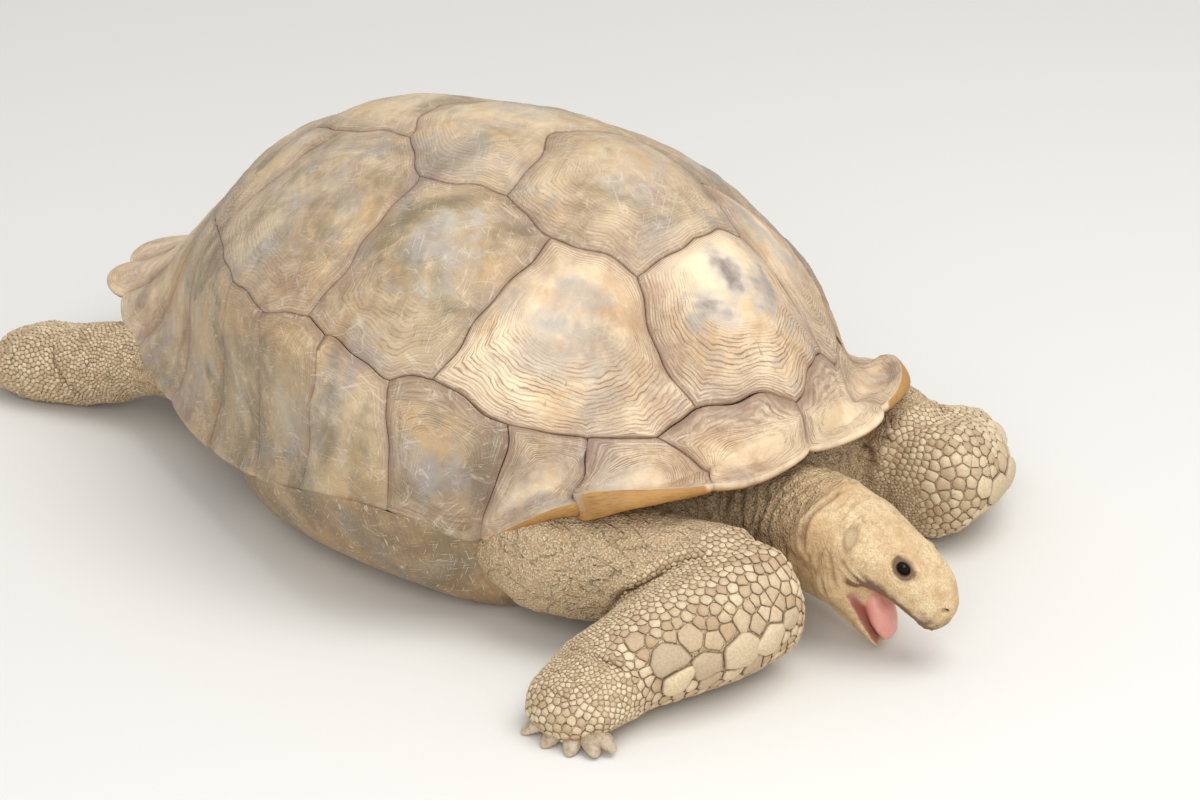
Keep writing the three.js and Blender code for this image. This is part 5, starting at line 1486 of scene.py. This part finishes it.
eye_surface = wet_eye()
for side, centre in eyes.items():
    ball = eyeball("eyeball_" + side, centre, gaze[side])
    ball.data.materials.append(eye_surface)
    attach(ball, "root")
    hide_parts("eye_" + side)

f, mid, wide, tall = spline(TONGUE, 30).T
turn = even_turns(48)
groove = 1.1 * np.exp(-(np.cos(turn) / 0.22) ** 2) * (np.sin(turn) > 0)
across = wide[:, None] * np.cos(turn)
rise = mid[:, None] + tall[:, None] * np.sin(turn) - groove + 0.35 * np.sin(f / 1.7)[:, None] * np.sin(turn)
rows = home + MM * on_head(np.stack([np.repeat(f[:, None], 48, 1), across, rise], -1))
# the rounded tip: the last ring shrunk along a quarter ellipse
end, centre = rows[-1], rows[-1].mean(0)
ahead = MM * 4.5 * unit(on_head([0.9, 0, -0.42]) - HEAD_AT)
angle = np.radians([25, 50, 72])[:, None, None]
rows = np.concatenate([rows, centre + (end - centre) * np.cos(angle) + ahead * np.sin(angle)])
tongue = make_piece("tongue_flesh", *closed_grid(rows, rows[0].mean(0), centre + ahead))


def wet_flesh():
    """Tongue: pink living flesh, pebbled with small papillae and glistening with spittle."""
    material, tree, shader, place, _ = new_finish("tongue_flesh_wet")
    broad = add(tree, "TexNoise", {"Vector": place, "Scale": 90.0, "Detail": 4.0})
    papilla = add(tree, "TexVoronoi", {"Vector": place, "Scale": 900.0})
    base = add(tree, "Mix", {0: broad, 6: "#d98f80", 7: "#f0b4a3"}, **COLOUR)
    dots = add(tree, "MapRange", [papilla, 0.0, 0.5, 0.3, 0.0])
    tone = add(tree, "Mix", {0: dots, 6: base, 7: "#f2bfae"}, **COLOUR)
    bump = add(tree, "Bump", {"Height": dots, "Strength": 0.5, "Distance": 0.0005})
    fill(tree, shader, {"Base Color": tone, "Roughness": 0.33, "Subsurface Weight": 0.15,
                        "Subsurface Radius": (0.003, 0.0012, 0.0008), "Normal": bump})
    return material


tongue.data.materials.append(wet_flesh())
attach(tongue, "root")
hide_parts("tongue")

# ---------------------------------------------------------------- floor, lamps and camera
# A pale seamless studio floor, a broad soft lamp over the front of the shell and a weak one behind
# the camera.
floor_mesh = bpy.data.meshes.new("studio_floor")
floor_mesh.from_pydata([(-14, -14, 0), (14, -14, 0), (14, 14, 0), (-14, 14, 0)], [], [(0, 1, 2, 3)])
studio_floor = placed("studio_floor", floor_mesh)
paper = bpy.data.materials.new("matt_backdrop_paper")
paper.use_nodes = True
fill(paper.node_tree, paper.node_tree.nodes["Principled BSDF"], {"Base Color": "#e6e3dc", "Roughness": 0.9})
floor_mesh.materials.append(paper)

world = bpy.data.worlds.new("soft_daylight")
bpy.context.scene.world = world
world.use_nodes = True
fill(world.node_tree, world.node_tree.nodes["Background"], {"Color": "#eef1f5", "Strength": 0.74})


def stand(name, data, place, way, side):
    """A lamp or camera at a place, looking along way, with side to its right."""
    matrix = np.eye(4)
    matrix[:3, :3] = np.stack([side, np.cross(side, way), -way], -1)
    matrix[:3, 3] = place
    holder = placed(name, data)
    holder.matrix_world = Matrix(matrix.tolist())
    return holder


def soft_lamp(name, place, aim, size, power):
    """A square area lamp at a place, turned to face its aim."""
    lamp = bpy.data.lights.new(name, "AREA")
    lamp.size = size
    lamp.energy = power
    way = unit(np.array(aim) - np.array(place))
    stand(name, lamp, place, way, unit(np.cross(way, [0.0, 0.3, 1.0])))


soft_lamp("overhead_lamp", (1.1, 0.3, 2.6), (0.05, 0, 0.1), 2.2, 43)
soft_lamp("front_lamp", (1.9, -2.2, 1.5), (0.1, 0, 0.1), 1.6, 33)

CAMERA_PLACE = home + np.array([1.7337, -1.8971, 1.1778])
CAMERA_AIM = home + np.array([0.0918, -0.0761, 0.1451])
CAMERA_ROLL = np.radians(0.73)
camera = bpy.data.cameras.new("front_right_camera")
camera.lens = 108.24
camera.sensor_width = 36
way = unit(CAMERA_AIM - CAMERA_PLACE)
across = unit(np.cross(way, [0, 0, 1]))
level = across * np.cos(CAMERA_ROLL) + np.cross(across, way) * np.sin(CAMERA_ROLL)
bpy.context.scene.camera = stand("front_right_camera", camera, CAMERA_PLACE, way, level)

bpy.context.scene.view_settings.view_transform = "Standard"
